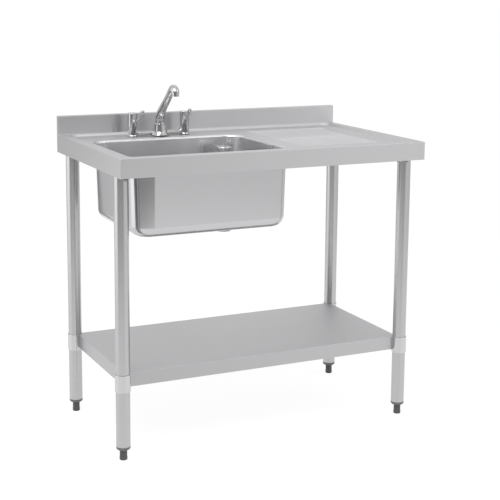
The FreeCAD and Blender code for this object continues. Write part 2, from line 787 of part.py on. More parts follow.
def make_leg_screws():
    """Button-head screws, two at the top of each leg."""
    level = f"{APRON_FOOT} - leg_screw_below_apron"
    depth = "(leg_wall + socket_gap + socket_wall)"
    screws = []
    for side_x, side_y in CORNERS.values():
        for turn in (0.0, 90.0):
            angle = math.radians(size("leg_screw_angle") + turn)
            out = Vector(-side_x * math.sin(angle), side_y * math.cos(angle), 0)
            screw = lathe(
                "leg screw",
                [
                    ("0", f"-{depth}"),
                    ("leg_screw_shank / 2", f"-{depth}"),
                    ("leg_screw_shank / 2", "0"),
                    ("leg_screw_head / 2", "0"),
                    ("leg_screw_head / 2", "leg_screw_head_height / 3"),
                    ("leg_screw_head / 4", "leg_screw_head_height"),
                    ("leg_screw_shank / 4", "leg_screw_head_height"),
                    ("leg_screw_shank / 4", "leg_screw_head_height / 4"),
                    ("0", "leg_screw_head_height / 4"),
                ],
            )
            fix_on_leg(screw, side_x, side_y, out, level)
            screws.append(screw)
    group("leg_screws", screws)


def fix_on_leg(screw, side_x, side_y, out, level):
    """Stand a screw on a leg's surface, with its axis pointing out."""
    screw.Placement = Placement(Vector(0, 0, 0), Rotation(Vector(0, 0, 1), out))
    x = f"{side_x} * {LEG_X} + ({out.x}) * leg_diameter / 2"
    y = f"{side_y} * {LEG_Y} + ({out.y}) * leg_diameter / 2"
    place(screw, x, y, level)


def make_feet():
    """A press-in insert with a rounded collar in each leg, and the screwed stem that it carries."""
    bore = "(foot_stem_diameter / 2 + foot_running_gap)"
    collar_radius = size("leg_diameter / 2")
    for corner, (side_x, side_y) in CORNERS.items():
        x, y = f"{side_x} * {LEG_X}", f"{side_y} * {LEG_Y}"
        insert = lathe(
            f"foot_insert_{corner}",
            [
                (bore, "-foot_collar_height"),
                ("leg_diameter / 2", "-foot_collar_height"),
                ("leg_diameter / 2", "0"),
                (f"{LEG_BORE} / 2", "0"),
                (f"{LEG_BORE} / 2", "foot_insert_depth"),
                (bore, "foot_insert_depth"),
            ],
        )
        low = -size("foot_collar_height")
        soften(
            insert,
            "Fillet",
            "0.68 * foot_collar_height",
            lambda edge: at_level(edge, low) and edge.BoundBox.XLength > 1.9 * collar_radius,
        )
        place(insert, x, y, LEG_FOOT)
        node(insert, f"foot_insert_{corner}")

        stem = lathe(
            f"foot_stem_{corner}",
            [
                ("0", "0"),
                ("foot_pad_diameter / 2", "0"),
                ("foot_pad_diameter / 2", "foot_pad_height"),
                ("foot_stem_diameter / 2", "foot_pad_height + foot_chamfer"),
                ("foot_stem_diameter / 2", f"{FOOT_TOP} - foot_chamfer"),
                ("foot_stem_diameter / 2 - foot_chamfer", FOOT_TOP),
                ("0", FOOT_TOP),
            ],
        )
        soften(stem, "Fillet", "0.25 * foot_pad_height", lambda edge: at_level(edge, 0))
        place(stem, x, y, "0")
        node(stem, f"foot_stem_{corner}")


# ---------------------------------------------------------------- lower shelf


def make_shelf():
    """A folded tray, upside down, with a round notch at each corner for a leg's sleeve."""
    half_x, half_y = f"({HALF_WIDTH} - shelf_inset_x)", f"({HALF_DEPTH} - shelf_inset_y)"
    body = new_body("shelf")
    slab = new_sketch(body, offset=SHELF_FOOT)
    rectangle(slab, f"-{half_x}", half_x, f"-{half_y}", half_y)
    pad(body, slab, "shelf_rim")
    top = size("shelf_height")
    soften(body, "Fillet", "shelf_fold", lambda edge: at_level(edge, top))
    inside = new_sketch(body, offset=f"{SHELF_FOOT} + shelf_gauge")
    wall_x, wall_y = f"({half_x} - shelf_gauge)", f"({half_y} - shelf_gauge)"
    rectangle(inside, f"-{wall_x}", wall_x, f"-{wall_y}", wall_y)
    pocket(body, inside, "shelf_rim - 2 * shelf_gauge", upwards=True)
    mouth = new_sketch(body, offset=SHELF_FOOT)
    lip_x, lip_y = f"({half_x} - shelf_hem)", f"({half_y} - shelf_hem)"
    rectangle(mouth, f"-{lip_x}", lip_x, f"-{lip_y}", lip_y)
    pocket(body, mouth, "2 * shelf_gauge", upwards=True)
    notches = new_sketch(body, offset="shelf_height")
    for side_x, side_y in CORNERS.values():
        circle(notches, f"{side_x} * {LEG_X}", f"{side_y} * {LEG_Y}", SLEEVE_OUTSIDE)
    pocket(body, notches, "shelf_rim")
    node(body, "shelf")

    channel = new_body("shelf_channel")
    sketch = new_sketch(channel, "YZ")
    hat_section(sketch, "hat_width", "hat_height", "hat_flange", "channel_gauge")
    pad(channel, sketch, f"2 * ({lip_x} - shelf_channel_end_gap)", both_ways=True)
    place(channel, "0", "0", "shelf_height - shelf_gauge")
    node(channel, "shelf_channel")


def make_sleeves():
    """A sleeve round each leg, welded into the shelf's notch, and the grub screw that locks it."""
    screws = []
    reach = "(sleeve_gap + sleeve_wall + sleeve_screw_proud)"
    for corner, (side_x, side_y) in CORNERS.items():
        sleeve = tube(f"shelf_sleeve_{corner}", SLEEVE_OUTSIDE, SLEEVE_BORE, "sleeve_length")
        outside = size(SLEEVE_OUTSIDE)
        soften(
            sleeve,
            "Fillet",
            "sleeve_edge",
            lambda edge: at_level(edge, 0) and edge.BoundBox.XLength > outside - SAME,
        )
        hole = new_sketch(sleeve, "YZ")
        circle(hole, "0", "sleeve_screw_up", "sleeve_screw")
        pocket(sleeve, hole, SLEEVE_OUTSIDE, upwards=True)
        inwards = math.degrees(math.atan2(-side_y, -side_x))
        sleeve.Placement = Placement(Vector(0, 0, 0), Rotation(Vector(0, 0, 1), inwards))
        place(sleeve, f"{side_x} * {LEG_X}", f"{side_y} * {LEG_Y}", "shelf_height - sleeve_length")
        node(sleeve, f"shelf_sleeve_{corner}")

        screw = new_body("sleeve screw")
        round_bar = new_sketch(screw)
        circle(round_bar, "0", "0", "sleeve_screw")
        pad(screw, round_bar, reach)
        key = new_sketch(screw, offset=reach)
        hexagon(key, "sleeve_screw / 2")
        pocket(screw, key, "sleeve_wall")
        out = Vector(-side_x, -side_y, 0).normalize()
        fix_on_leg(screw, side_x, side_y, out, "shelf_height - sleeve_length + sleeve_screw_up")
        screws.append(screw)
    group("sleeve_screws", screws)


def hexagon(sketch, across_flats):
    points = []
    for step in range(6):
        reach = f"({across_flats}) / sqrt(3)"
        points.append((f"{reach} * cos({60 * step + 30})", f"{reach} * sin({60 * step + 30})"))
    polygon(sketch, points)


def hex_nut(label, across_flats, bore, height):
    """A hexagonal nut standing on its own origin."""
    body = new_body(label)
    sketch = new_sketch(body)
    hexagon(sketch, across_flats)
    circle(sketch, "0", "0", bore)
    pad(body, sketch, height)
    return body


# ---------------------------------------------------------------- waste and standpipe


def make_waste():
    """A flanged waste through the bowl's dish, held by a nut between two seals."""
    rise = "(waste_seal_gauge / 2)"
    body = lathe(
        "waste_body",
        [
            ("waste_throat / 2", "-waste_tail_length"),
            ("waste_thread / 2", "-waste_tail_length"),
            ("waste_thread / 2", f"{WASTE_NUT_FOOT} - {WASTE_SEAT}"),
            ("waste_shank / 2", f"{WASTE_NUT_FOOT} - {WASTE_SEAT}"),
            ("waste_shank / 2", rise),
            ("waste_flange_diameter / 2", rise),
            ("waste_flange_diameter / 2", f"{rise} + waste_flange_gauge / 2"),
            ("waste_flange_diameter / 2 - waste_flange_bevel", f"{rise} + waste_flange_gauge"),
            ("waste_throat / 2", f"{rise} + waste_flange_gauge"),
        ],
    )
    place(body, WASTE_X, WASTE_Y, WASTE_SEAT)
    node(body, "waste_body")
    upper = tube("waste seal", "waste_shank + 2 * waste_seal_width", "waste_shank", rise)
    place(upper, WASTE_X, WASTE_Y, WASTE_SEAT)
    lower = tube("waste seal", "waste_shank + 2 * waste_seal_width", "waste_shank", "waste_seal_gauge")
    place(lower, WASTE_X, WASTE_Y, f"{WASTE_UNDER} - waste_seal_gauge")
    group("waste_seals", [upper, lower])
    nut = hex_nut("waste_nut", "waste_nut_size", "waste_shank", "waste_nut_height")
    place(nut, WASTE_X, WASTE_Y, WASTE_NUT_FOOT)
    node(nut, "waste_nut")


def make_standpipe():
    """A lift-out overflow pipe: slotted tube, domed cap, and a rubber bung that seats in the waste."""
    foot = f"({FLANGE_TOP} - bung_seat_depth)"
    crown = f"({DECK} - standpipe_below_deck - standpipe_cap_height)"
    top = f"({crown} - {foot})"
    pipe = tube("standpipe_tube", "standpipe_diameter", "standpipe_diameter - 2 * standpipe_wall", top)
    window = new_sketch(pipe, "XZ")
    half = "standpipe_window_width / 2"
    rectangle(window, f"-{half}", half, f"{top} - standpipe_window_height", top)
    pocket(pipe, window, "2 * standpipe_diameter", both_ways=True)
    pipe.Placement = Placement(Vector(0, 0, 0), Rotation(Vector(0, 0, 1), -size("standpipe_turn")))
    place(pipe, WASTE_X, WASTE_Y, foot)
    node(pipe, "standpipe_tube")

    plug_radius = "(standpipe_diameter / 2 - standpipe_wall)"
    cap = lathe(
        "standpipe_cap",
        [
            ("0", "-standpipe_wall"),
            (plug_radius, "-standpipe_wall"),
            (plug_radius, "0"),
            ("standpipe_cap_diameter / 2", "0"),
            ("standpipe_cap_diameter / 2", "standpipe_cap_height"),
            ("0", "standpipe_cap_height"),
        ],
    )
    height = size("standpipe_cap_height")
    soften(cap, "Fillet", "0.6 * standpipe_cap_height", lambda edge: at_level(edge, height))
    place(cap, WASTE_X, WASTE_Y, crown)
    node(cap, "standpipe_cap")

    bung = lathe(
        "standpipe_bung",
        [
            ("standpipe_diameter / 2", "-bung_seat_depth"),
            ("waste_throat / 2 - bung_play - bung_taper", "-bung_seat_depth"),
            ("waste_throat / 2 - bung_play", "0"),
            ("waste_throat / 2 + bung_brim", "0"),
            ("waste_throat / 2 + bung_brim", "bung_height / 5"),
            ("standpipe_diameter / 2 + bung_brim", "bung_height - bung_seat_depth"),
            ("standpipe_diameter / 2", "bung_height - bung_seat_depth"),
        ],
    )
    place(bung, WASTE_X, WASTE_Y, FLANGE_TOP)
    node(bung, "standpipe_bung")


# ---------------------------------------------------------------- mixer tap


def lofted(label, path, stations):
    """A solid through circles along a path; a station is (edge, fraction, diameter formula)."""
    rings = []
    for edge, fraction, diameter in stations:
        first, last = path[edge].ParameterRange
        at = first + (last - first) * fraction
        section = doc.addObject("Part::Circle", "Section")
        bind(section, "Radius", f"({diameter}) / 2")
        along = path[edge].tangentAt(at)
        section.Placement = Placement(path[edge].valueAt(at), Rotation(Vector(0, 0, 1), along))
        rings.append(section)
    made = doc.addObject("Part::Loft", "Loft")
    made.Sections = rings
    made.Solid = True
    made.Label = label
    return made


def bent_path(points, radii):
    """Straight runs through (forward, height) points in the piece's own YZ plane, joined by tangent arcs."""
    spots = [Vector(0, -forward, height) for forward, height in points]
    edges = []
    start = spots[0]
    for before, corner, after, radius in zip(spots, spots[1:], spots[2:], radii):
        arriving = (corner - before).normalize()
        leaving = (after - corner).normalize()
        turn = arriving.getAngle(leaving)
        reach = radius * math.tan(turn / 2)
        first, last = corner - arriving * reach, corner + leaving * reach
        halfway = (leaving - arriving).normalize()
        middle = corner + halfway * radius * (1 / math.cos(turn / 2) - 1)
        edges.append(Part.LineSegment(start, first).toShape())
        edges.append(Part.Arc(first, middle, last).toShape())
        start = last
    edges.append(Part.LineSegment(start, spots[-1]).toShape())
    return edges


def pillar(side):
    """One leg of the mixer's body with its threaded tail."""
    made = lathe(
        "tap pillar",
        [
            ("0", "-tail_length"),
            ("tail_diameter / 2", "-tail_length"),
            ("tail_diameter / 2", f"{BACKNUT_FOOT} - {TAP_SEAT}"),
            ("tail_shank / 2", f"{BACKNUT_FOOT} - {TAP_SEAT}"),
            ("tail_shank / 2", "0"),
            ("pillar_base_diameter / 2", "0"),
            ("pillar_base_diameter / 2", "pillar_base_rim"),
            ("pillar_diameter / 2", "2 * pillar_base_rim"),
            ("pillar_diameter / 2", "tap_body_height"),
            ("0", "tap_body_height"),
        ],
    )
    place(made, f"{TAP_X} {side} tap_hole_spacing / 2", TAP_Y, TAP_SEAT)
    return made


def pillar_bore(side):
    """The way up through a tail, with the valve's seat at its top."""
    made = lathe(
        "pillar bore",
        [
            ("0", "-tail_length"),
            ("tail_bore / 2", "-tail_length"),
            ("tail_bore / 2", "valve_floor"),
            ("valve_diameter / 2", "valve_floor"),
            ("valve_diameter / 2", "tap_body_height"),
            ("0", "tap_body_height"),
        ],
    )
    place(made, f"{TAP_X} {side} tap_hole_spacing / 2", TAP_Y, TAP_SEAT)
    return made


def bridge():
    """The low arm between the pillars, swept up to each pillar and to the spout's boss."""
    body = new_body("tap bridge")
    sketch = new_sketch(body, "XZ")
    end, crest = "tap_hole_spacing / 2", "(tap_body_height - bridge_below_pillar)"
    shoulder = f"({end} - {IN_ROUND_BAR} * pillar_diameter)"
    waist = f"({IN_ROUND_BAR} * boss_diameter)"
    outline = [
        (end, "bridge_lift"),
        (end, crest),
        (shoulder, crest),
        (shoulder, "bridge_height"),
        (waist, "bridge_height"),
        (waist, "boss_height - bridge_below_boss"),
    ]
    mirrored = [(f"-({x})", z) for x, z in reversed(outline)]
    polygon(sketch, outline + mirrored)
    pad(body, sketch, "bridge_width", both_ways=True)
    level, top, half = size("bridge_height"), size(crest), size(end)

    def inner_corner(edge):
        return edge.BoundBox.XLength < SAME and at_level(edge, level)

    soften(body, "Fillet", "bridge_sweep", inner_corner)

    def long_edge(edge):
        box = edge.BoundBox
        along = box.YLength < SAME and box.XLength > SAME
        right_crest = box.ZMin > top - SAME and box.XMax > half - SAME
        return along and not right_crest

    soften(body, "Fillet", "bridge_round", long_edge)
    place(body, TAP_X, TAP_Y, TAP_SEAT)
    return body


def spout_boss():
    """The bell-shaped boss that the spout turns on."""
    bell, neck = "(boss_height / 3)", "(boss_height * 2 / 3)"
    body = lathe(
        "tap boss",
        [
            ("0", "bridge_lift"),
            ("boss_flare_diameter / 2", "bridge_lift"),
            ("boss_flare_diameter / 2", "bridge_lift + boss_rim"),
            ("boss_diameter / 2 + boss_bell", bell),
            ("boss_diameter / 2 + boss_draft", neck),
            ("boss_diameter / 2", "boss_height"),
            ("0", "boss_height"),
        ],
    )
    for level, radius in ((size(bell), "boss_bell_radius"), (size(neck), "boss_neck_radius")):
        soften(body, "Fillet", radius, lambda edge: at_level(edge, level))
    place(body, TAP_X, SPOUT_Y, TAP_SEAT)
    return body


def make_tap_body():
    """The mixer's casting, bored from each valve to the middle and forward to the spout's well."""
    casting = join("Fuse", "tap casting", [bridge(), spout_boss(), pillar("-"), pillar("+")])
    level = f"({TAP_SEAT} + (bridge_height + bridge_lift) / 2)"
    across = drill("waterway", "tap_hole_spacing", Vector(1, 0, 0))
    place(across, f"{TAP_X} - tap_hole_spacing / 2", TAP_Y, level)
    forward = drill("waterway_forward", "spout_forward", Vector(0, -1, 0))
    place(forward, TAP_X, TAP_Y, level)
    up = Vector(0, 0, 1)
    well = drill("waterway", f"{SPOUT_SEAT} - {level} + waterway / 2", up)
    place(well, TAP_X, SPOUT_Y, f"{level} - waterway / 2")
    depth = "(spigot_length + socket_floor_gap)"
    socket = drill("spigot_diameter + 2 * spigot_clearance", depth, up)
    place(socket, TAP_X, SPOUT_Y, f"{SPOUT_SEAT} - {depth}")
    bores = join("Fuse", "tap bores", [across, forward, well, socket, pillar_bore("-"), pillar_bore("+")])
    node(join("Cut", "tap_body", [casting, bores]), "tap_body")


def drill(diameter, length, along):
    """A round hole's shape, from its own origin along a direction."""
    made = doc.addObject("Part::Cylinder", "Drill")
    bind(made, "Radius", f"({diameter}) / 2")
    bind(made, "Height", length)
    made.Placement = Placement(Vector(0, 0, 0), Rotation(Vector(0, 0, 1), along))
    return made


def make_tap_fixings():
    """Seals above the deck, and washers and nuts on the tails below it."""
    seals, washers, nuts = [], [], []
    for side in ("-", "+"):
        x = f"{TAP_X} {side} tap_hole_spacing / 2"
        seal = tube("tap seal", "tap_seal_diameter", "tail_shank", "tap_seal_gauge")
        place(seal, x, TAP_Y, DECK)
        seals.append(seal)
        washer = tube("tap washer", "backnut_washer", "tail_shank", "backnut_washer_gauge")
        place(washer, x, TAP_Y, f"{DECK_UNDER} - backnut_washer_gauge")
        washers.append(washer)
        nut = hex_nut("tap nut", "backnut_size", "tail_shank", "backnut_height")
        place(nut, x, TAP_Y, BACKNUT_FOOT)
        nuts.append(nut)
    group("tap_seals", seals)
    group("tap_washers", washers)
    group("tap_backnuts", nuts)


def make_valves():
    """Quarter-turn valves, pressed into the pillars, each round the spindle that its lever turns."""
    neck = "(tap_body_height + valve_rise)"
    low = "(valve_floor + valve_chamber_height)"
    for side_name, side in (("hot", "-"), ("cold", "+")):
        chamber = "valve_diameter / 2 - valve_chamber_gap"
        bore = "valve_stem / 2 + spigot_clearance"
        valve = lathe(
            f"{side_name}_valve",
            [
                ("0", "valve_floor"),
                (chamber, "valve_floor"),
                (chamber, low),
                ("valve_diameter / 2", f"{low} + valve_shoulder"),
                ("valve_diameter / 2", "tap_body_height"),
                ("valve_diameter / 2 - valve_shoulder", "tap_body_height"),
                ("valve_diameter / 2 - valve_shoulder", neck),
                (bore, neck),
                (bore, low),
                ("0", low),
            ],
        )
        place(valve, f"{TAP_X} {side} tap_hole_spacing / 2", TAP_Y, TAP_SEAT)
        node(valve, f"{side_name}_valve")
        spindle = new_body(f"{side_name}_spindle")
        section = new_sketch(spindle)
        circle(section, "0", "0", "valve_stem")
        pad(spindle, section, f"{neck} + valve_stem - {low} - head_gap")
        place(spindle, f"{TAP_X} {side} tap_hole_spacing / 2", TAP_Y, f"{TAP_SEAT} + {low} + head_gap")
        node(spindle, f"{side_name}_spindle")


def make_levers():
    """Round lever heads, each with one arm that runs forward and then rises to an oval grip."""
    root = size(f"lever_root_height + {DECK} - {HEAD_SEAT}")
    in_wall = size("(valve_diameter + 2 * head_gap + head_diameter) / 4")
    slope = math.tan(math.radians(size("lever_angle")))
    reach, knee = size("lever_reach"), size("lever_knee")
    beyond = size("lever_tip_length / 2") * math.cos(math.radians(size("lever_angle")))
    rise = root + (reach - knee) * slope
    tip = (reach + beyond, rise + beyond * slope)
    path = bent_path([(in_wall, root), (knee, root), tip], [size("lever_knee_radius")])
    run = path[2].Length
    oval = size("lever_tip_length") / run
    grip = "lever_tip_width"
    stations = [
        (0, 0.0, "lever_neck + 4"),
        (0, 0.6, "lever_neck + 2"),
        (0, 1.0, "lever_neck + 0.5"),
        (1, 0.5, "lever_neck"),
        (1, 1.0, "lever_neck"),
        (2, (1 - oval) / 2, "lever_neck + 0.5"),
        (2, 1 - oval, f"0.86 * {grip}"),
        (2, 1 - 0.7 * oval, f"0.98 * {grip}"),
        (2, 1 - 0.4 * oval, f"0.96 * {grip}"),
        (2, 1 - 0.15 * oval, f"0.72 * {grip}"),
        (2, 1 - 0.03 * oval, f"0.36 * {grip}"),
        (2, 1.0, f"0.1 * {grip}"),
    ]
    for name, side, toe in (("hot_lever", "-", 1), ("cold_lever", "+", -1)):
        spline_radius = "valve_stem / 2"
        cavity = "valve_rise + valve_shoulder"
        depth = "valve_rise + valve_stem - head_gap"
        cavity_radius = "valve_diameter / 2 + head_gap"
        head = lathe(
            f"{name} head",
            [
                (cavity_radius, "0"),
                ("head_diameter / 2", "0"),
                ("head_diameter / 2", "head_height"),
                ("0", "head_height"),
                ("0", depth),
                (spline_radius, depth),
                (spline_radius, cavity),
                (cavity_radius, cavity),
            ],
        )
        top = size("head_height")
        soften(head, "Fillet", "head_round", lambda edge: at_level(edge, top))
        arm = lofted(f"{name} arm", path, stations)
        lever = join("Fuse", name, [head, arm])
        lever.Placement = Placement(Vector(0, 0, 0), Rotation(Vector(0, 0, 1), toe * size("lever_toe_in")))
        place(lever, f"{TAP_X} {side} tap_hole_spacing / 2", TAP_Y, HEAD_SEAT)
        node(lever, name)


def make_spout():
    """The swivel spout: a tapering tube with a knee and a crook, on a grooved spigot."""
    seat = f"({SPOUT_SEAT} + spout_gap)"
    lift = size(f"{seat} - {DECK}")
    rise = math.tan(math.radians(size("spout_rise_angle")))
    reach, knee = size("spout_reach"), size("spout_knee_height") - lift
    outlet = size("spout_outlet_height") - lift
    corner = knee + reach * rise
    radii = [size("spout_knee_radius"), size("spout_crook_radius")]
    path = bent_path([(0, 0), (0, knee), (reach, corner), (reach, outlet)], radii)
    root, waist, mouth = "spout_root_diameter", "spout_waist_diameter", "spout_mouth_diameter"
    stations = [
        (0, 0.0, root),
        (0, 0.5, f"0.97 * {root}"),
        (1, 0.0, f"0.93 * {root}"),
        (1, 0.35, f"0.75 * {root} + 0.25 * {waist}"),
        (1, 0.7, f"0.45 * {root} + 0.55 * {waist}"),
        (1, 1.0, f"0.25 * {root} + 0.75 * {waist}"),
        (2, 0.35, f"0.1 * {root} + 0.9 * {waist}"),
        (2, 0.75, waist),
        (2, 1.0, f"1.04 * {waist}"),
        (3, 0.25, f"1.14 * {waist}"),
        (3, 0.5, f"1.18 * {waist}"),
        (3, 0.75, f"1.12 * {waist}"),
        (3, 1.0, f"0.5 * {waist} + 0.5 * {mouth}"),
        (4, 1.0, mouth),
    ]
    bore_stations = [(edge, at, f"spout_bore_share * ({width})") for edge, at, width in stations[2:]]
    skin = lofted("spout skin", path, stations)
    bore = lofted("spout bore", path, bore_stations)
    inlet = doc.addObject("Part::Cylinder", "Inlet")
    bind(inlet, "Radius", "spigot_bore / 2")
    bind(inlet, "Height", "spigot_length + spout_knee_height / 4")
    place(inlet, z="-spigot_length")
    aerator_seat = doc.addObject("Part::Cylinder", "AeratorSeat")
    bind(aerator_seat, "Radius", "aerator_diameter / 2")
    bind(aerator_seat, "Height", "aerator_length")
    place(aerator_seat, "0", "-spout_reach", f"spout_outlet_height - {lift}")
    solid = join("Fuse", "spout with spigot", [skin, make_spigot()])
    spout = join("Cut", "spout", [solid, join("Fuse", "spout waterway", [bore, inlet, aerator_seat])])
    place(spout, TAP_X, SPOUT_Y, seat)
    node(spout, "spout")


def make_spigot():
    """The spout's lower end, with a groove for each sealing ring."""
    radius = "spigot_diameter / 2"
    profile = [("0", "0"), ("0", "-spigot_length"), (radius, "-spigot_length")]
    for up in reversed(RING_PLACES):
        low, high = f"-{up} * spigot_length - {RING_GROOVE}", f"-{up} * spigot_length"
        floor = f"{radius} - ring_section"
        profile += [(radius, low), (floor, low), (floor, high), (radius, high)]
    return lathe("spout spigot", profile + [(radius, "0")])


def make_spout_rings():
    rings = []
    for up in RING_PLACES:
        seal = doc.addObject("Part::Torus", "Ring")
        bind(seal, "Radius1", "(spigot_diameter - ring_section) / 2")
        bind(seal, "Radius2", "ring_section / 2")
        place(seal, TAP_X, SPOUT_Y, f"{SPOUT_SEAT} + spout_gap - {up} * spigot_length - {RING_GROOVE} / 2")
        rings.append(seal)
    group("spout_rings", rings)


def make_aerator():
    """A flow straightener in the spout's mouth, with a recessed face and a hole through it."""
    body = new_body("aerator")
    disc = new_sketch(body)
    circle(disc, "0", "0", "aerator_diameter")
    pad(body, disc, "aerator_length")
    face = new_sketch(body)
    circle(face, "0", "0", "0.7 * aerator_diameter")
    pocket(body, face, "aerator_length / 4", upwards=True)
    way = new_sketch(body)
    circle(way, "0", "0", "0.3 * aerator_diameter")
    pocket(body, way, "aerator_length", upwards=True)
    place(body, TAP_X, f"{SPOUT_Y} - spout_reach", f"{DECK} + spout_outlet_height")
    node(body, "aerator")


def check_and_export():
    """Stop on a failed object or a bad shape, then write each piece."""
    doc.recompute()
    for thing in doc.Objects:
        if {"Invalid", "Error"} & set(thing.State):
            raise RuntimeError(f"{thing.Label} ({thing.Name}) failed: {thing.State}")
    for name, thing in nodes.items():
        if thing.Shape.isNull() or not thing.Shape.isValid():
            raise RuntimeError(f"{name} has no valid shape")
    os.makedirs("parts", exist_ok=True)
    for name, thing in nodes.items():
        thing.Shape.exportStep(f"parts/{name}.step")
        print(f"{name}: {len(thing.Shape.Solids)} solids, {thing.Shape.Volume / 1000:.1f} cm3")


fill_sheet()
make_worktop()
make_bowl()
make_channels()
make_legs()
make_leg_screws()
make_feet()
make_shelf()
make_sleeves()
make_waste()
make_standpipe()
make_tap_body()
make_tap_fixings()
make_valves()
make_levers()
make_spout()
make_spout_rings()
make_aerator()
check_and_export()
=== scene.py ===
"""The looks of a free-standing stainless steel sink unit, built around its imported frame.

Every steel, chrome, brass, rubber and plastic finish is procedural. The threads of the tap's tails and
the waste and the aerator's strainer are modelled here, each on the body that carries it.
"""
import json
import math

import bmesh
import bpy
from bpy.props import FloatProperty, FloatVectorProperty, IntProperty, PointerProperty
from bpy.types import Operator, Panel, PropertyGroup
from mathutils import Matrix, Vector


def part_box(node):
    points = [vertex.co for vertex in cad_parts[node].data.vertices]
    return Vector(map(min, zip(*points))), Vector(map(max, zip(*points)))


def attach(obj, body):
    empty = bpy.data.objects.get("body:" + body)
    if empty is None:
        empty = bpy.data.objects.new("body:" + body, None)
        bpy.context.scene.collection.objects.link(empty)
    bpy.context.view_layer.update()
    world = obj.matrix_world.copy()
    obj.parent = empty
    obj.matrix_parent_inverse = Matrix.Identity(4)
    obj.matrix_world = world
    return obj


bl_info = {
    "name": "Steel Sink Unit",
    "version": (1, 0, 0),
    "blender": (4, 5, 0),
    "location": "3D View > Sidebar > Sink Unit",
    "description": "Finishes and fine detail for a steel sink unit with a drainer, a mixer tap and a shelf",
    "category": "Object",
}

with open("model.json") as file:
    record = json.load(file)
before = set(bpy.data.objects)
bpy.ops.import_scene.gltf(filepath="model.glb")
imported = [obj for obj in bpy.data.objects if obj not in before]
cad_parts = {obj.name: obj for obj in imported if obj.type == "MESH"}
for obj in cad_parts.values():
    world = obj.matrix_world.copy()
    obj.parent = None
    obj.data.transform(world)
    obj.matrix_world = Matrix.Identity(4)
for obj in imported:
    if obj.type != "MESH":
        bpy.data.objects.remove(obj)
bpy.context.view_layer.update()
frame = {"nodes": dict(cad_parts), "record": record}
NODES = frame["nodes"]
RECORD_COLOURS = {entry["slot"]: tuple(entry["base_color"]) for entry in frame["record"]["materials"]}
CORNERS = ("front_left", "front_right", "back_left", "back_right")

MM = 0.001
FULL_TURN = 2 * math.pi
UP = Vector((0, 0, 1))
BOWL_HEART = (-0.188, -0.052, 0.79)
TAIL_RADIUS = 10.45 * MM
WASTE_RADIUS = 23.9 * MM
THREAD_STEPS = 36
THREAD_SINK = 0.1 * MM
STRAINER_WIRE = 0.3 * MM
STRAINER_SHARE = 0.4
MERGE_GAP = 0.001 * MM

# Shares by which a finish is darker or lighter than its slot's colour.
WORKTOP_TONE = 0.93
# Painted shade: upright faces of the worktop and the shelf take a darker tone than the faces that lie flat.
WORKTOP_UPRIGHT_SHADE = 0.98
SHELF_UPRIGHT_SHADE = 0.84
LEG_TONE = 0.76
FIXING_TONE = 0.6
INSERT_TONE = 1.8
GROUND_TONES = (0.985, 1.015)
# Painted light: the bowl's inside takes lighter tones than its outside, to lift the shade in the bowl.
BOWL_INSIDE_PAINTED_LIGHT_TONES = (1.36, 1.42)
BOWL_OUTSIDE_TONES = (1.0, 1.03)
PLATING_TONES = (0.60, 0.64)
BRASS_TONES = (0.72, 1.08)
DUST_TONE = 1.9

# How far a face points along an axis before it counts as a side face or as lying flat.
SIDE_FACING = 0.7
LYING_FACING = 0.6
LYING_ROUGHER = 0.14
ACROSS_GRAIN = 0.25
CLOUD_SIZE = (0.22, 0.18, 0.14)
MARKS_IN_WEAR = 0.7
CLOUDS_IN_WEAR = 0.3
ROUGHNESS_SWING = 0.03

RUBBER_ROUGHNESS = 0.7
SEAL_ROUGHNESS = 0.65
FOOT_ROUGHNESS = 0.5
WASTE_NUT_ROUGHNESS = 0.45
AERATOR_ROUGHNESS = 0.4
STRAINER_ROUGHNESS = 0.25
FIXING_ROUGHNESS = 0.2
PIPE_ROUGHNESS = 0.2
WASTE_ROUGHER = 0.06
THREAD_ROUGHER = 0.1

WHITE = (1.0, 1.0, 1.0, 1.0)
# The colour sockets of a Mix node go by number, because its other sockets have the same names.
MIX_FIRST = 6
MIX_SECOND = 7
MIX_RESULT = 2


def colour_setting(name, slot, description):
    """A colour property whose default is the colour that the frame's record gives to a slot."""
    return FloatVectorProperty(
        name=name, description=description, subtype="COLOR", size=3, min=0.0, max=1.0,
        default=RECORD_COLOURS[slot],
    )


class SteelSettings(PropertyGroup):
    """Colours and grain of the sheet and tube steel."""

    worktop: colour_setting("Worktop", "worktop_steel", "Colour of the worktop's ground sheet")
    bowl: colour_setting("Bowl", "bowl_steel", "Colour of the drawn bowl")
    channels: colour_setting("Channels", "frame_steel", "Colour of the stiffeners, sockets and sleeves")
    legs: colour_setting("Legs", "leg_steel", "Colour of the leg tubes")
    shelf: colour_setting("Shelf", "shelf_steel", "Colour of the shelf's ground sheet")
    polished: colour_setting("Standpipe", "polished_steel", "Colour of the polished overflow pipe")
    fixings: colour_setting("Fixings", "fixing_steel", "Colour of the screws and washers")
    sheet_roughness: FloatProperty(
        name="Sheet roughness", description="Roughness of the ground sheets", default=0.36, min=0.0, max=1.0,
    )
    bowl_roughness: FloatProperty(
        name="Bowl roughness", description="Roughness of the drawn bowl", default=0.15, min=0.0, max=1.0,
    )
    tube_roughness: FloatProperty(
        name="Tube roughness", description="Roughness of the leg tubes", default=0.2, min=0.0, max=1.0,
    )
    grain_pull: FloatProperty(
        name="Grain pull", description="How far the grinding marks stretch a highlight across them",
        default=0.95, min=0.0, max=1.0,
    )
    grain_width: FloatProperty(
        name="Grain width", description="Width of one grinding mark", default=0.0008, min=0.0002,
        subtype="DISTANCE", unit="LENGTH",
    )
    grain_length: FloatProperty(
        name="Grain length", description="Length of one grinding mark", default=0.09, min=0.001,
        subtype="DISTANCE", unit="LENGTH",
    )


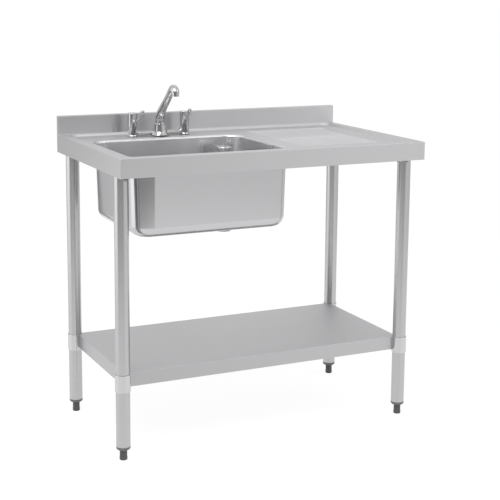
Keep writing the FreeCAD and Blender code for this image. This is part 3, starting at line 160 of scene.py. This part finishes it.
class TapSettings(PropertyGroup):
    """Colours of the mixer tap and of what fixes it."""

    chrome: colour_setting("Chrome", "chrome", "Colour of the plated castings")
    brass: colour_setting("Brass", "brass", "Colour of the valves and the backnuts")
    rubber: colour_setting("Rubber", "rubber", "Colour of the seals and the bung")
    chrome_roughness: FloatProperty(
        name="Chrome roughness", description="Roughness of the plating", default=0.09, min=0.0, max=1.0,
    )
    strainer_wires: IntProperty(
        name="Strainer wires", description="Wires each way in the aerator's strainer", default=9,
        min=3, max=40,
    )


class PlasticSettings(PropertyGroup):
    """Colours of the moulded pieces."""

    foot: colour_setting("Feet", "foot_plastic", "Colour of the feet and their inserts")
    waste_nut: colour_setting("Waste nut", "white_plastic", "Colour of the nut below the bowl")
    aerator: colour_setting("Aerator", "grey_plastic", "Colour of the aerator")


class ThreadSettings(PropertyGroup):
    """Pitches and height of the pipe threads."""

    tail_pitch: FloatProperty(
        name="Tail pitch", description="Pitch of the half inch pipe thread", default=0.00181,
        subtype="DISTANCE", unit="LENGTH",
    )
    waste_pitch: FloatProperty(
        name="Waste pitch", description="Pitch of the inch and a half pipe thread", default=0.00231,
        subtype="DISTANCE", unit="LENGTH",
    )
    thread_height: FloatProperty(
        name="Thread height", description="How far a thread stands out, as a share of its pitch",
        default=0.18, min=0.0, max=0.5,
    )


class StageSettings(PropertyGroup):
    """Camera and light levels."""

    camera_place: FloatVectorProperty(
        name="Camera", description="Where the camera stands", subtype="TRANSLATION", unit="LENGTH", size=3,
        default=(-1.60035, -3.40441, 1.37632),
    )
    camera_yaw: FloatProperty(
        name="Yaw", description="Turn of the camera to the right", subtype="ANGLE",
        default=math.radians(25.747),
    )
    camera_pitch: FloatProperty(
        name="Pitch", description="Tilt of the camera downwards", subtype="ANGLE", default=math.radians(9.186),
    )
    camera_roll: FloatProperty(
        name="Roll", description="Turn of the camera about its own axis", subtype="ANGLE",
        default=math.radians(0.488),
    )
    camera_lens: FloatProperty(
        name="Lens", description="Focal length in millimetres for a 36 mm frame", default=86.62, min=1.0,
    )
    camera_shift: FloatProperty(
        name="Shift", description="Shift of the frame, as a share of its height", default=-0.141,
    )
    room_level: FloatProperty(
        name="Room light", description="Level of the light from all round", default=0.80, min=0.0,
    )
    key_power: FloatProperty(
        name="Key light", description="Power of the large soft light", default=60.0, min=0.0, subtype="POWER",
    )


SETTING_GROUPS = {
    "sink_steel": SteelSettings,
    "sink_tap": TapSettings,
    "sink_plastic": PlasticSettings,
    "sink_threads": ThreadSettings,
    "sink_stage": StageSettings,
}


class Wire:
    """An output socket. An expression on wires and numbers adds its Math nodes to the tree."""

    def __init__(self, tree, socket=None):
        self.tree = tree
        self.socket = socket

    def node(self, kind, settings=None, sockets=None, out=0):
        """Adds a node, sets it up, fills its sockets with values or wires, and gives one of its outputs.

        An output goes by its name or number. The last node of a tree has none."""
        made = self.tree.nodes.new(kind)
        for name, value in (settings or {}).items():
            setattr(made, name, value)
        for name, value in (sockets or {}).items():
            if isinstance(value, Wire):
                self.tree.links.new(value.socket, made.inputs[name])
            else:
                made.inputs[name].default_value = value
        return Wire(self.tree, made.outputs[out] if made.outputs else None)

    def sum_node(self, operation, first, second):
        return self.node("ShaderNodeMath", {"operation": operation}, {0: first, 1: second})

    def __add__(self, other):
        return self.sum_node("ADD", self, other)

    def __radd__(self, other):
        return self.sum_node("ADD", other, self)

    def __sub__(self, other):
        return self.sum_node("SUBTRACT", self, other)

    def __rsub__(self, other):
        return self.sum_node("SUBTRACT", other, self)

    def __mul__(self, other):
        return self.sum_node("MULTIPLY", self, other)

    def __rmul__(self, other):
        return self.sum_node("MULTIPLY", other, self)

    def __gt__(self, other):
        return self.sum_node("GREATER_THAN", self, other)


def opaque(colour):
    """A colour with full alpha."""
    return (*colour, 1.0)


def shade(colour, share):
    """A colour made darker or lighter by a share."""
    return tuple(min(1.0, channel * share) for channel in colour)


def new_material(name):
    """An empty material, with the wire that starts its tree."""
    material = bpy.data.materials.new(name)
    material.use_nodes = True
    material.node_tree.nodes.clear()
    return material, Wire(material.node_tree)


def finish_material(wire, surface):
    """Joins a surface to its material's output."""
    wire.node("ShaderNodeOutputMaterial", {}, {"Surface": surface})


def object_place(wire):
    """The point of the surface, in metres."""
    return wire.node("ShaderNodeTexCoord", out="Object")


def noise(wire, place, grain_size, detail=2.0, roughness=0.5):
    """Noise whose grains have a size in metres along each axis."""
    scaled = wire.node(
        "ShaderNodeMapping", {"vector_type": "POINT"},
        {"Vector": place, "Scale": tuple(1.0 / size for size in grain_size)},
    )
    return wire.node(
        "ShaderNodeTexNoise", {"noise_dimensions": "3D"},
        {"Vector": scaled, "Scale": 1.0, "Detail": detail, "Roughness": roughness},
    )


def mix_colours(wire, first, second, share):
    """A colour between two, by a share that may vary over the surface."""
    return wire.node(
        "ShaderNodeMix", {"data_type": "RGBA", "blend_type": "MIX"},
        {0: share, MIX_FIRST: opaque(first), MIX_SECOND: opaque(second)}, out=MIX_RESULT,
    )


def tinted(wire, colour, tones, share):
    """A colour that varies between a darker and a lighter tone of itself."""
    dark, light = tones
    return mix_colours(wire, shade(colour, dark), shade(colour, light), share)


def facing(wire, axis):
    """How far the surface faces along an axis, either way."""
    normal = wire.node("ShaderNodeNewGeometry", out="Normal")
    along = wire.node("ShaderNodeSeparateXYZ", {}, {"Vector": normal}, out=axis)
    return wire.node("ShaderNodeMath", {"operation": "ABSOLUTE"}, {0: along})


def blend_shares(first, second, share):
    """A value between two, by a share that may vary over the surface."""
    return first + (second - first) * share


def steel(name, colour, roughness, settings, grain="length", pull=None, flat_top=True, upright_shade=1.0):
    """Ground steel: fine marks along the grain, faint clouds from handling, and stretched highlights.

    The grain runs along the length, round a tube, or follows no line ("none"). Upright faces can get painted
    shade: a darker tone than the faces that lie flat, by a share."""
    material, wire = new_material(name)
    place = object_place(wire)
    wide = settings.grain_width
    long = settings.grain_length
    pull = settings.grain_pull if pull is None else pull
    if grain == "length":
        along_x = noise(wire, place, (long, wide, wide))
        along_y = noise(wire, place, (wide, long, wide))
        side_face = facing(wire, "X") > SIDE_FACING
        marks = blend_shares(along_x, along_y, side_face)
    elif grain == "round":
        marks = noise(wire, place, (long, long, wide))
    else:
        marks = noise(wire, place, (wide, wide, wide), detail=3.0)
    clouds = noise(wire, place, CLOUD_SIZE)
    wear = marks * MARKS_IN_WEAR + clouds * CLOUDS_IN_WEAR
    tint = tinted(wire, colour, GROUND_TONES, wear)
    # Painted shade: upright faces take a darker tone of the colour than the faces that lie flat.
    upright_shaded_tint = tinted(wire, colour, [tone * upright_shade for tone in GROUND_TONES], wear)
    rough = roughness - ROUGHNESS_SWING + marks * ROUGHNESS_SWING + clouds * ROUGHNESS_SWING
    bump = wire.node(
        "ShaderNodeBump", {}, {"Strength": 0.015, "Distance": 0.0001, "Height": marks},
    )
    look = {"Base Color": tint, "Metallic": 1.0, "Roughness": rough, "Normal": bump}
    pulled = {**look, "Base Color": upright_shaded_tint, "Anisotropic": pull, "Anisotropic Rotation": ACROSS_GRAIN}
    stretched = wire.node("ShaderNodeBsdfPrincipled", {}, pulled)
    if flat_top:
        even = wire.node("ShaderNodeBsdfPrincipled", {}, {**look, "Roughness": rough + LYING_ROUGHER})
        lying = facing(wire, "Z") > LYING_FACING
        surface = wire.node("ShaderNodeMixShader", {}, {0: lying, 1: stretched, 2: even})
    else:
        surface = stretched
    finish_material(wire, surface)
    return material


def drawn_steel(name, colour, roughness, settings):
    """Drawn steel: satin inside the bowl and polished outside it. Painted light makes the inside's tones
    lighter.
    """
    material, wire = new_material(name)
    place = object_place(wire)
    normal = wire.node("ShaderNodeNewGeometry", out="Normal")
    outward = wire.node("ShaderNodeVectorMath", {"operation": "SUBTRACT"}, {0: place, 1: BOWL_HEART})
    away = wire.node(
        "ShaderNodeVectorMath", {"operation": "DOT_PRODUCT"}, {0: normal, 1: outward}, out="Value",
    )
    outside = away > 0.0
    marks = noise(wire, place, (settings.grain_length, settings.grain_length, settings.grain_width))
    clouds = noise(wire, place, (0.12, 0.12, 0.12), detail=2.0)
    wear = marks * 0.5 + clouds * 0.5
    # Painted light: the satin inside takes lighter tones, against the shade that falls in the bowl.
    satin = wire.node("ShaderNodeBsdfPrincipled", {}, {
        "Base Color": tinted(wire, colour, BOWL_INSIDE_PAINTED_LIGHT_TONES, wear),
        "Metallic": 1.0, "Roughness": roughness + 0.10 + clouds * 0.04,
    })
    bright = wire.node("ShaderNodeBsdfPrincipled", {}, {
        "Base Color": tinted(wire, colour, BOWL_OUTSIDE_TONES, wear),
        "Metallic": 1.0, "Roughness": roughness + clouds * 0.03,
        "Anisotropic": 0.5, "Anisotropic Rotation": ACROSS_GRAIN,
    })
    finish_material(wire, wire.node("ShaderNodeMixShader", {}, {0: outside, 1: satin, 2: bright}))
    return material


def plating(name, colour, roughness):
    """Mirror plating with faint wiping marks."""
    material, wire = new_material(name)
    place = object_place(wire)
    wiped = noise(wire, place, (0.03, 0.03, 0.012), detail=3.0, roughness=0.6)
    fine = noise(wire, place, (0.0015, 0.0015, 0.0015))
    tint = tinted(wire, colour, PLATING_TONES, wiped)
    bump = wire.node("ShaderNodeBump", {}, {"Strength": 0.02, "Distance": 0.0001, "Height": fine})
    surface = wire.node("ShaderNodeBsdfPrincipled", {}, {
        "Base Color": tint, "Metallic": 1.0, "Roughness": roughness - 0.03 + wiped * 0.06, "Normal": bump,
    })
    finish_material(wire, surface)
    return material


def turned_brass(name, colour):
    """Machined brass: rings left by the lathe, and a little tarnish."""
    material, wire = new_material(name)
    place = object_place(wire)
    rings = noise(wire, place, (0.02, 0.02, 0.0004))
    tarnish = noise(wire, place, (0.006, 0.006, 0.006), detail=4.0, roughness=0.65)
    tint = tinted(wire, colour, BRASS_TONES, tarnish)
    bump = wire.node("ShaderNodeBump", {}, {"Strength": 0.15, "Distance": 0.0002, "Height": rings})
    surface = wire.node("ShaderNodeBsdfPrincipled", {}, {
        "Base Color": tint, "Metallic": 1.0, "Roughness": 0.22 + rings * 0.1 + tarnish * 0.12, "Normal": bump,
    })
    finish_material(wire, surface)
    return material


def moulded(name, colour, roughness, grain_size=0.0006, dust=0.3):
    """Moulded rubber or plastic with a fine spark-eroded grain and a little dust on what lies flat."""
    material, wire = new_material(name)
    place = object_place(wire)
    grain = noise(wire, place, (grain_size,) * 3, detail=3.0)
    patches = noise(wire, place, (0.012, 0.012, 0.02), detail=4.0, roughness=0.6)
    dusty = patches * facing(wire, "Z") * dust
    tint = mix_colours(wire, colour, shade(colour, DUST_TONE), dusty)
    bump = wire.node("ShaderNodeBump", {}, {"Strength": 0.25, "Distance": 0.0002, "Height": grain})
    surface = wire.node("ShaderNodeBsdfPrincipled", {}, {
        "Base Color": tint, "Roughness": roughness - 0.06 + grain * 0.08 + patches * 0.04, "Normal": bump,
    })
    finish_material(wire, surface)
    return material


def coat(names, material):
    """Gives CAD nodes a finish."""
    for name in names:
        for slot in NODES[name].material_slots:
            slot.material = material


def at_corners(stem):
    """The names of the four nodes that stand at the corners."""
    return [f"{stem}_{corner}" for corner in CORNERS]


def finish_mesh(bm, name, material, body):
    """Turns a bmesh into a flat-shaded piece with a finish, on a body."""
    bmesh.ops.remove_doubles(bm, verts=bm.verts, dist=MERGE_GAP)
    bmesh.ops.recalc_face_normals(bm, faces=bm.faces)
    for face in bm.faces:
        face.smooth = False
    mesh = bpy.data.meshes.new(name)
    bm.to_mesh(mesh)
    bm.free()
    mesh.materials.append(material)
    piece = bpy.data.objects.new(name, mesh)
    bpy.context.scene.collection.objects.link(piece)
    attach(piece, body)


def middle_of(node):
    """The centre of a CAD node's box."""
    low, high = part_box(node)
    return (Vector(low) + Vector(high)) / 2


def make_thread(name, centre, foot, top, radius, pitch, height, material):
    """A helical thread round an upright tail, from its foot up to a nut."""
    bm = bmesh.new()
    turns = int((top - foot) / pitch) - 1
    root = radius - THREAD_SINK
    profile = [
        bm.verts.new((centre.x + reach, centre.y, foot + up * pitch))
        for reach, up in ((root, 0.0), (radius + height * pitch, 0.5), (root, 1.0))
    ]
    flanks = [bm.edges.new(pair) for pair in zip(profile, profile[1:])]
    bmesh.ops.spin(
        bm, geom=profile + flanks, cent=(centre.x, centre.y, 0), axis=UP, dvec=(0, 0, pitch / THREAD_STEPS),
        angle=turns * FULL_TURN, steps=turns * THREAD_STEPS,
    )
    finish_mesh(bm, name, material, "frame")


class SINK_OT_worktop(Operator):
    """Finish the worktop: ground sheet steel with its grain along the length"""

    bl_idname = "sink.worktop"
    bl_label = "Worktop"

    def execute(self, context):
        steel_look = context.scene.sink_steel
        ground = steel(
            "worktop_ground", shade(steel_look.worktop, WORKTOP_TONE), steel_look.sheet_roughness, steel_look,
            upright_shade=WORKTOP_UPRIGHT_SHADE,
        )
        coat(["worktop"], ground)
        return {"FINISHED"}


class SINK_OT_bowl(Operator):
    """Finish the bowl: drawn steel, satin inside with painted light, and polished outside"""

    bl_idname = "sink.bowl"
    bl_label = "Bowl"

    def execute(self, context):
        steel_look = context.scene.sink_steel
        coat(["bowl"], drawn_steel("bowl_drawn", steel_look.bowl, steel_look.bowl_roughness, steel_look))
        return {"FINISHED"}


class SINK_OT_shelf(Operator):
    """Finish the shelf: ground sheet steel with its grain along the length"""

    bl_idname = "sink.shelf"
    bl_label = "Shelf"

    def execute(self, context):
        steel_look = context.scene.sink_steel
        ground = steel(
            "shelf_ground", steel_look.shelf, steel_look.sheet_roughness, steel_look,
            upright_shade=SHELF_UPRIGHT_SHADE,
        )
        coat(["shelf"], ground)
        return {"FINISHED"}


class SINK_OT_channels(Operator):
    """Finish the stiffening channels and the leg sockets"""

    bl_idname = "sink.channels"
    bl_label = "Channels"

    def execute(self, context):
        steel_look = context.scene.sink_steel
        names = ["side_channel_left", "side_channel_right", "drainer_channel", "shelf_channel"]
        names += at_corners("leg_socket")
        coat(names, steel("channel_ground", steel_look.channels, steel_look.sheet_roughness, steel_look))
        return {"FINISHED"}


class SINK_OT_legs(Operator):
    """Finish the leg tubes and the shelf sleeves: polished round the tube"""

    bl_idname = "sink.legs"
    bl_label = "Legs"

    def execute(self, context):
        steel_look = context.scene.sink_steel
        tube = steel(
            "leg_polished", shade(steel_look.legs, LEG_TONE), steel_look.tube_roughness, steel_look,
            grain="round", flat_top=False,
        )
        coat(at_corners("leg"), tube)
        sleeve = steel(
            "sleeve_polished", steel_look.channels, steel_look.tube_roughness, steel_look, grain="round",
            flat_top=False,
        )
        coat(at_corners("shelf_sleeve"), sleeve)
        return {"FINISHED"}


class SINK_OT_feet(Operator):
    """Finish the levelling feet and their inserts"""

    bl_idname = "sink.feet"
    bl_label = "Feet"

    def execute(self, context):
        plastic = context.scene.sink_plastic
        insert = moulded("insert_plastic", shade(plastic.foot, INSERT_TONE), FOOT_ROUGHNESS)
        coat(at_corners("foot_insert"), insert)
        coat(at_corners("foot_stem"), moulded("foot_plastic", plastic.foot, FOOT_ROUGHNESS))
        return {"FINISHED"}


class SINK_OT_fixings(Operator):
    """Finish the screws and washers: bright steel"""

    bl_idname = "sink.fixings"
    bl_label = "Fixings"

    def execute(self, context):
        steel_look = context.scene.sink_steel
        bright = steel(
            "fixing_bright", shade(steel_look.fixings, FIXING_TONE), FIXING_ROUGHNESS, steel_look,
            grain="none", pull=0.0, flat_top=False,
        )
        coat(["leg_screws", "sleeve_screws", "tap_washers"], bright)
        return {"FINISHED"}


class SINK_OT_waste(Operator):
    """Finish the waste, its seals and its nut"""

    bl_idname = "sink.waste"
    bl_label = "Waste"

    def execute(self, context):
        tap = context.scene.sink_tap
        coat(["waste_body"], plating("waste_plating", tap.chrome, tap.chrome_roughness + WASTE_ROUGHER))
        coat(["waste_seals"], moulded("waste_rubber", tap.rubber, RUBBER_ROUGHNESS))
        nut_colour = context.scene.sink_plastic.waste_nut
        coat(["waste_nut"], moulded("nut_plastic", nut_colour, WASTE_NUT_ROUGHNESS))
        return {"FINISHED"}


class SINK_OT_threads(Operator):
    """Cut the pipe threads of the tap's tails and of the waste"""

    bl_idname = "sink.threads"
    bl_label = "Threads"

    def execute(self, context):
        tap = context.scene.sink_tap
        threads = context.scene.sink_threads
        plated = plating("thread_plating", tap.chrome, tap.chrome_roughness + THREAD_ROUGHER)
        tail_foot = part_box("tap_body")[0][2]
        nut_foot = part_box("tap_backnuts")[0][2]
        for side in ("hot", "cold"):
            make_thread(
                f"{side}_tail_thread", middle_of(f"{side}_valve"), tail_foot, nut_foot, TAIL_RADIUS,
                threads.tail_pitch, threads.thread_height, plated,
            )
        make_thread(
            "waste_thread", middle_of("waste_body"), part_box("waste_body")[0][2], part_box("waste_nut")[0][2],
            WASTE_RADIUS, threads.waste_pitch, threads.thread_height, plated,
        )
        return {"FINISHED"}


class SINK_OT_standpipe(Operator):
    """Finish the overflow pipe: polished steel on a rubber bung"""

    bl_idname = "sink.standpipe"
    bl_label = "Standpipe"

    def execute(self, context):
        steel_look = context.scene.sink_steel
        pipe = steel(
            "pipe_polished", steel_look.polished, PIPE_ROUGHNESS, steel_look, grain="round", flat_top=False,
        )
        coat(["standpipe_tube", "standpipe_cap"], pipe)
        bung = moulded("bung_rubber", context.scene.sink_tap.rubber, RUBBER_ROUGHNESS)
        coat(["standpipe_bung"], bung)
        return {"FINISHED"}


class SINK_OT_tap(Operator):
    """Finish the tap's body, spout and levers in chrome, and its valves and nuts in brass"""

    bl_idname = "sink.tap"
    bl_label = "Tap"

    def execute(self, context):
        tap = context.scene.sink_tap
        chrome = plating("tap_chrome", tap.chrome, tap.chrome_roughness)
        coat(["tap_body", "spout", "hot_lever", "cold_lever"], chrome)
        brass = turned_brass("valve_brass", tap.brass)
        coat(["hot_valve", "cold_valve", "hot_spindle", "cold_spindle", "tap_backnuts"], brass)
        coat(["tap_seals", "spout_rings"], moulded("seal_rubber", tap.rubber, SEAL_ROUGHNESS))
        aerator_colour = context.scene.sink_plastic.aerator
        coat(["aerator"], moulded("aerator_plastic", aerator_colour, AERATOR_ROUGHNESS))
        return {"FINISHED"}


class SINK_OT_strainer(Operator):
    """Weave the wire strainer in the foot of the aerator"""

    bl_idname = "sink.strainer"
    bl_label = "Strainer"

    def execute(self, context):
        tap = context.scene.sink_tap
        low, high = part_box("aerator")
        reach = STRAINER_SHARE * (high[0] - low[0])
        bm = bmesh.new()
        bmesh.ops.create_grid(bm, x_segments=tap.strainer_wires, y_segments=tap.strainer_wires, size=reach)
        beyond = [vert for vert in bm.verts if vert.co.length > reach]
        bmesh.ops.delete(bm, geom=beyond, context="VERTS")
        bmesh.ops.wireframe(bm, faces=bm.faces, thickness=STRAINER_WIRE, use_replace=True, use_boundary=True)
        middle = middle_of("aerator")
        bmesh.ops.translate(bm, verts=bm.verts, vec=(middle.x, middle.y, low[2]))
        wires = plating("strainer_wire", tap.chrome, STRAINER_ROUGHNESS)
        finish_mesh(bm, "aerator_strainer", wires, "spout")
        return {"FINISHED"}


CARD_RADIUS = 3.0
CARD_TOP = 2.8
CARD_STEPS = 12
FLOOR_REACH = 30.0
FLOOR_PAPER = 0.9
FLOOR_WHITE = 1.06
FLOOR_WHITE_SHARE = 0.85
CAMERA_REACH = 100.0
LAMP_AIM = (0, 0, 0.6)
# Each lamp's place, its size, and its share of the key light's power.
LAMPS = {
    "key_lamp": ((-1.6, -1.4, 3.2), 2.2, 1.0),
    "fill_lamp": ((2.4, -2.0, 2.2), 2.0, 0.4),
}
# Each card stands round the unit, from one angle in degrees to another, and shows one grey to the steel.
CARDS = {
    "card_back_right": (20, 58, 0.66),
    "card_back_middle": (58, 72, 0.86),
    "card_back": (72, 119, 0.66),
    "card_strip": (140, 184, 1.5),
    "card_front": (194, 277, 0.33),
    "card_right": (276, 380, 0.82),
}


class SINK_OT_stage(Operator):
    """Build the floor, the grey cards, the lamps, the room's light and the camera"""

    bl_idname = "sink.stage"
    bl_label = "Stage"

    def execute(self, context):
        stage = context.scene.sink_stage
        context.scene.view_settings.view_transform = "Standard"
        build_floor()
        for name, (start, end, level) in CARDS.items():
            build_card(name, math.radians(start), math.radians(end), level)
        build_room(context.scene, stage.room_level)
        for name, (place, size, share) in LAMPS.items():
            build_lamp(name, Vector(place), size, stage.key_power * share)
        build_camera(context.scene, stage)
        return {"FINISHED"}


def seen_white(wire):
    """One for what the camera sees straight, or in metal or glass, and nought for other light."""
    camera = wire.node("ShaderNodeLightPath", out="Is Camera Ray")
    glossy = wire.node("ShaderNodeLightPath", out="Is Glossy Ray")
    through = wire.node("ShaderNodeLightPath", out="Is Transmission Ray")
    return camera + glossy + through


def build_floor():
    """A plain pale floor that holds a faint shadow."""
    bm = bmesh.new()
    bmesh.ops.create_grid(bm, x_segments=1, y_segments=1, size=FLOOR_REACH)
    mesh = bpy.data.meshes.new("floor")
    bm.to_mesh(mesh)
    bm.free()
    material, wire = new_material("floor_paper")
    paper = wire.node("ShaderNodeBsdfDiffuse", {}, {"Color": opaque((FLOOR_PAPER,) * 3)})
    white = wire.node("ShaderNodeEmission", {}, {"Color": WHITE, "Strength": FLOOR_WHITE})
    whiteness = seen_white(wire) * FLOOR_WHITE_SHARE
    surface = wire.node("ShaderNodeMixShader", {}, {0: whiteness, 1: paper, 2: white})
    finish_material(wire, surface)
    mesh.materials.append(material)
    floor = bpy.data.objects.new("floor", mesh)
    bpy.context.scene.collection.objects.link(floor)


def build_card(name, start, end, level):
    """A curved grey card that only the steel's reflections see."""
    bm = bmesh.new()
    foot = bm.verts.new((CARD_RADIUS, 0, 0))
    top = bm.verts.new((CARD_RADIUS, 0, CARD_TOP))
    edge = bm.edges.new((foot, top))
    bmesh.ops.rotate(bm, verts=bm.verts, cent=(0, 0, 0), matrix=Matrix.Rotation(start, 3, "Z"))
    bmesh.ops.spin(bm, geom=[foot, top, edge], cent=(0, 0, 0), axis=UP, angle=end - start, steps=CARD_STEPS)
    mesh = bpy.data.meshes.new(name)
    bm.to_mesh(mesh)
    bm.free()
    material, wire = new_material(name)
    grey = wire.node("ShaderNodeEmission", {}, {"Color": WHITE, "Strength": level})
    finish_material(wire, grey)
    mesh.materials.append(material)
    card = bpy.data.objects.new(name, mesh)
    bpy.context.scene.collection.objects.link(card)
    card.visible_camera = False
    card.visible_diffuse = False
    card.visible_shadow = False


def build_room(scene, level):
    """Even light from all round, in front of a white backdrop."""
    room = bpy.data.worlds.new("room")
    room.use_nodes = True
    room.node_tree.nodes.clear()
    wire = Wire(room.node_tree)
    light = wire.node("ShaderNodeBackground", {}, {"Color": WHITE, "Strength": level})
    white = wire.node("ShaderNodeBackground", {}, {"Color": WHITE, "Strength": 1.0})
    surface = wire.node("ShaderNodeMixShader", {}, {0: seen_white(wire), 1: light, 2: white})
    wire.node("ShaderNodeOutputWorld", {}, {"Surface": surface})
    scene.world = room


def build_lamp(name, place, size, power):
    """A large soft lamp that looks at the middle of the unit."""
    lamp = bpy.data.lights.new(name, "AREA")
    lamp.shape = "SQUARE"
    lamp.size = size
    lamp.energy = power
    holder = bpy.data.objects.new(name, lamp)
    holder.location = place
    holder.rotation_euler = (Vector(LAMP_AIM) - place).to_track_quat("-Z", "Y").to_euler()
    bpy.context.scene.collection.objects.link(holder)


def build_camera(scene, stage):
    """The camera, level with the eye of someone who stands before the unit's left corner."""
    yaw = stage.camera_yaw
    pitch = stage.camera_pitch
    ahead = Vector((
        math.sin(yaw) * math.cos(pitch),
        math.cos(yaw) * math.cos(pitch),
        -math.sin(pitch),
    ))
    level_right = Vector((math.cos(yaw), -math.sin(yaw), 0))
    level_up = level_right.cross(ahead)
    right = level_right * math.cos(stage.camera_roll) + level_up * math.sin(stage.camera_roll)
    up = level_up * math.cos(stage.camera_roll) - level_right * math.sin(stage.camera_roll)
    camera = bpy.data.cameras.new("camera")
    camera.lens = stage.camera_lens
    camera.sensor_width = 36.0
    camera.shift_y = stage.camera_shift
    camera.clip_end = CAMERA_REACH
    holder = bpy.data.objects.new("camera", camera)
    turn = Matrix((right, up, -ahead)).transposed().to_4x4()
    holder.matrix_world = Matrix.Translation(Vector(stage.camera_place)) @ turn
    scene.collection.objects.link(holder)
    scene.camera = holder


OPERATORS = (
    SINK_OT_worktop, SINK_OT_bowl, SINK_OT_shelf, SINK_OT_channels, SINK_OT_legs, SINK_OT_feet,
    SINK_OT_fixings, SINK_OT_waste, SINK_OT_threads, SINK_OT_standpipe, SINK_OT_tap, SINK_OT_strainer,
    SINK_OT_stage,
)


class SINK_PT_panel(Panel):
    """The sink unit's settings and pieces"""

    bl_idname = "SINK_PT_panel"
    bl_label = "Steel Sink Unit"
    bl_space_type = "VIEW_3D"
    bl_region_type = "UI"
    bl_category = "Sink Unit"

    def draw(self, context):
        for key in SETTING_GROUPS:
            box = self.layout.box()
            group = getattr(context.scene, key)
            for name in group.__annotations__:
                box.prop(group, name)
        column = self.layout.column(align=True)
        for operator in OPERATORS:
            column.operator(operator.bl_idname)


def register():
    for group in SETTING_GROUPS.values():
        bpy.utils.register_class(group)
    for operator in OPERATORS:
        bpy.utils.register_class(operator)
    bpy.utils.register_class(SINK_PT_panel)
    for key, group in SETTING_GROUPS.items():
        setattr(bpy.types.Scene, key, PointerProperty(type=group))


def unregister():
    for key in SETTING_GROUPS:
        delattr(bpy.types.Scene, key)
    bpy.utils.unregister_class(SINK_PT_panel)
    for operator in reversed(OPERATORS):
        bpy.utils.unregister_class(operator)
    for group in reversed(list(SETTING_GROUPS.values())):
        bpy.utils.unregister_class(group)


def main():
    """Registers the add-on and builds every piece."""
    register()
    for operator in OPERATORS:
        group, name = operator.bl_idname.split(".")
        getattr(getattr(bpy.ops, group), name)()


if __name__ == "__main__":
    main()
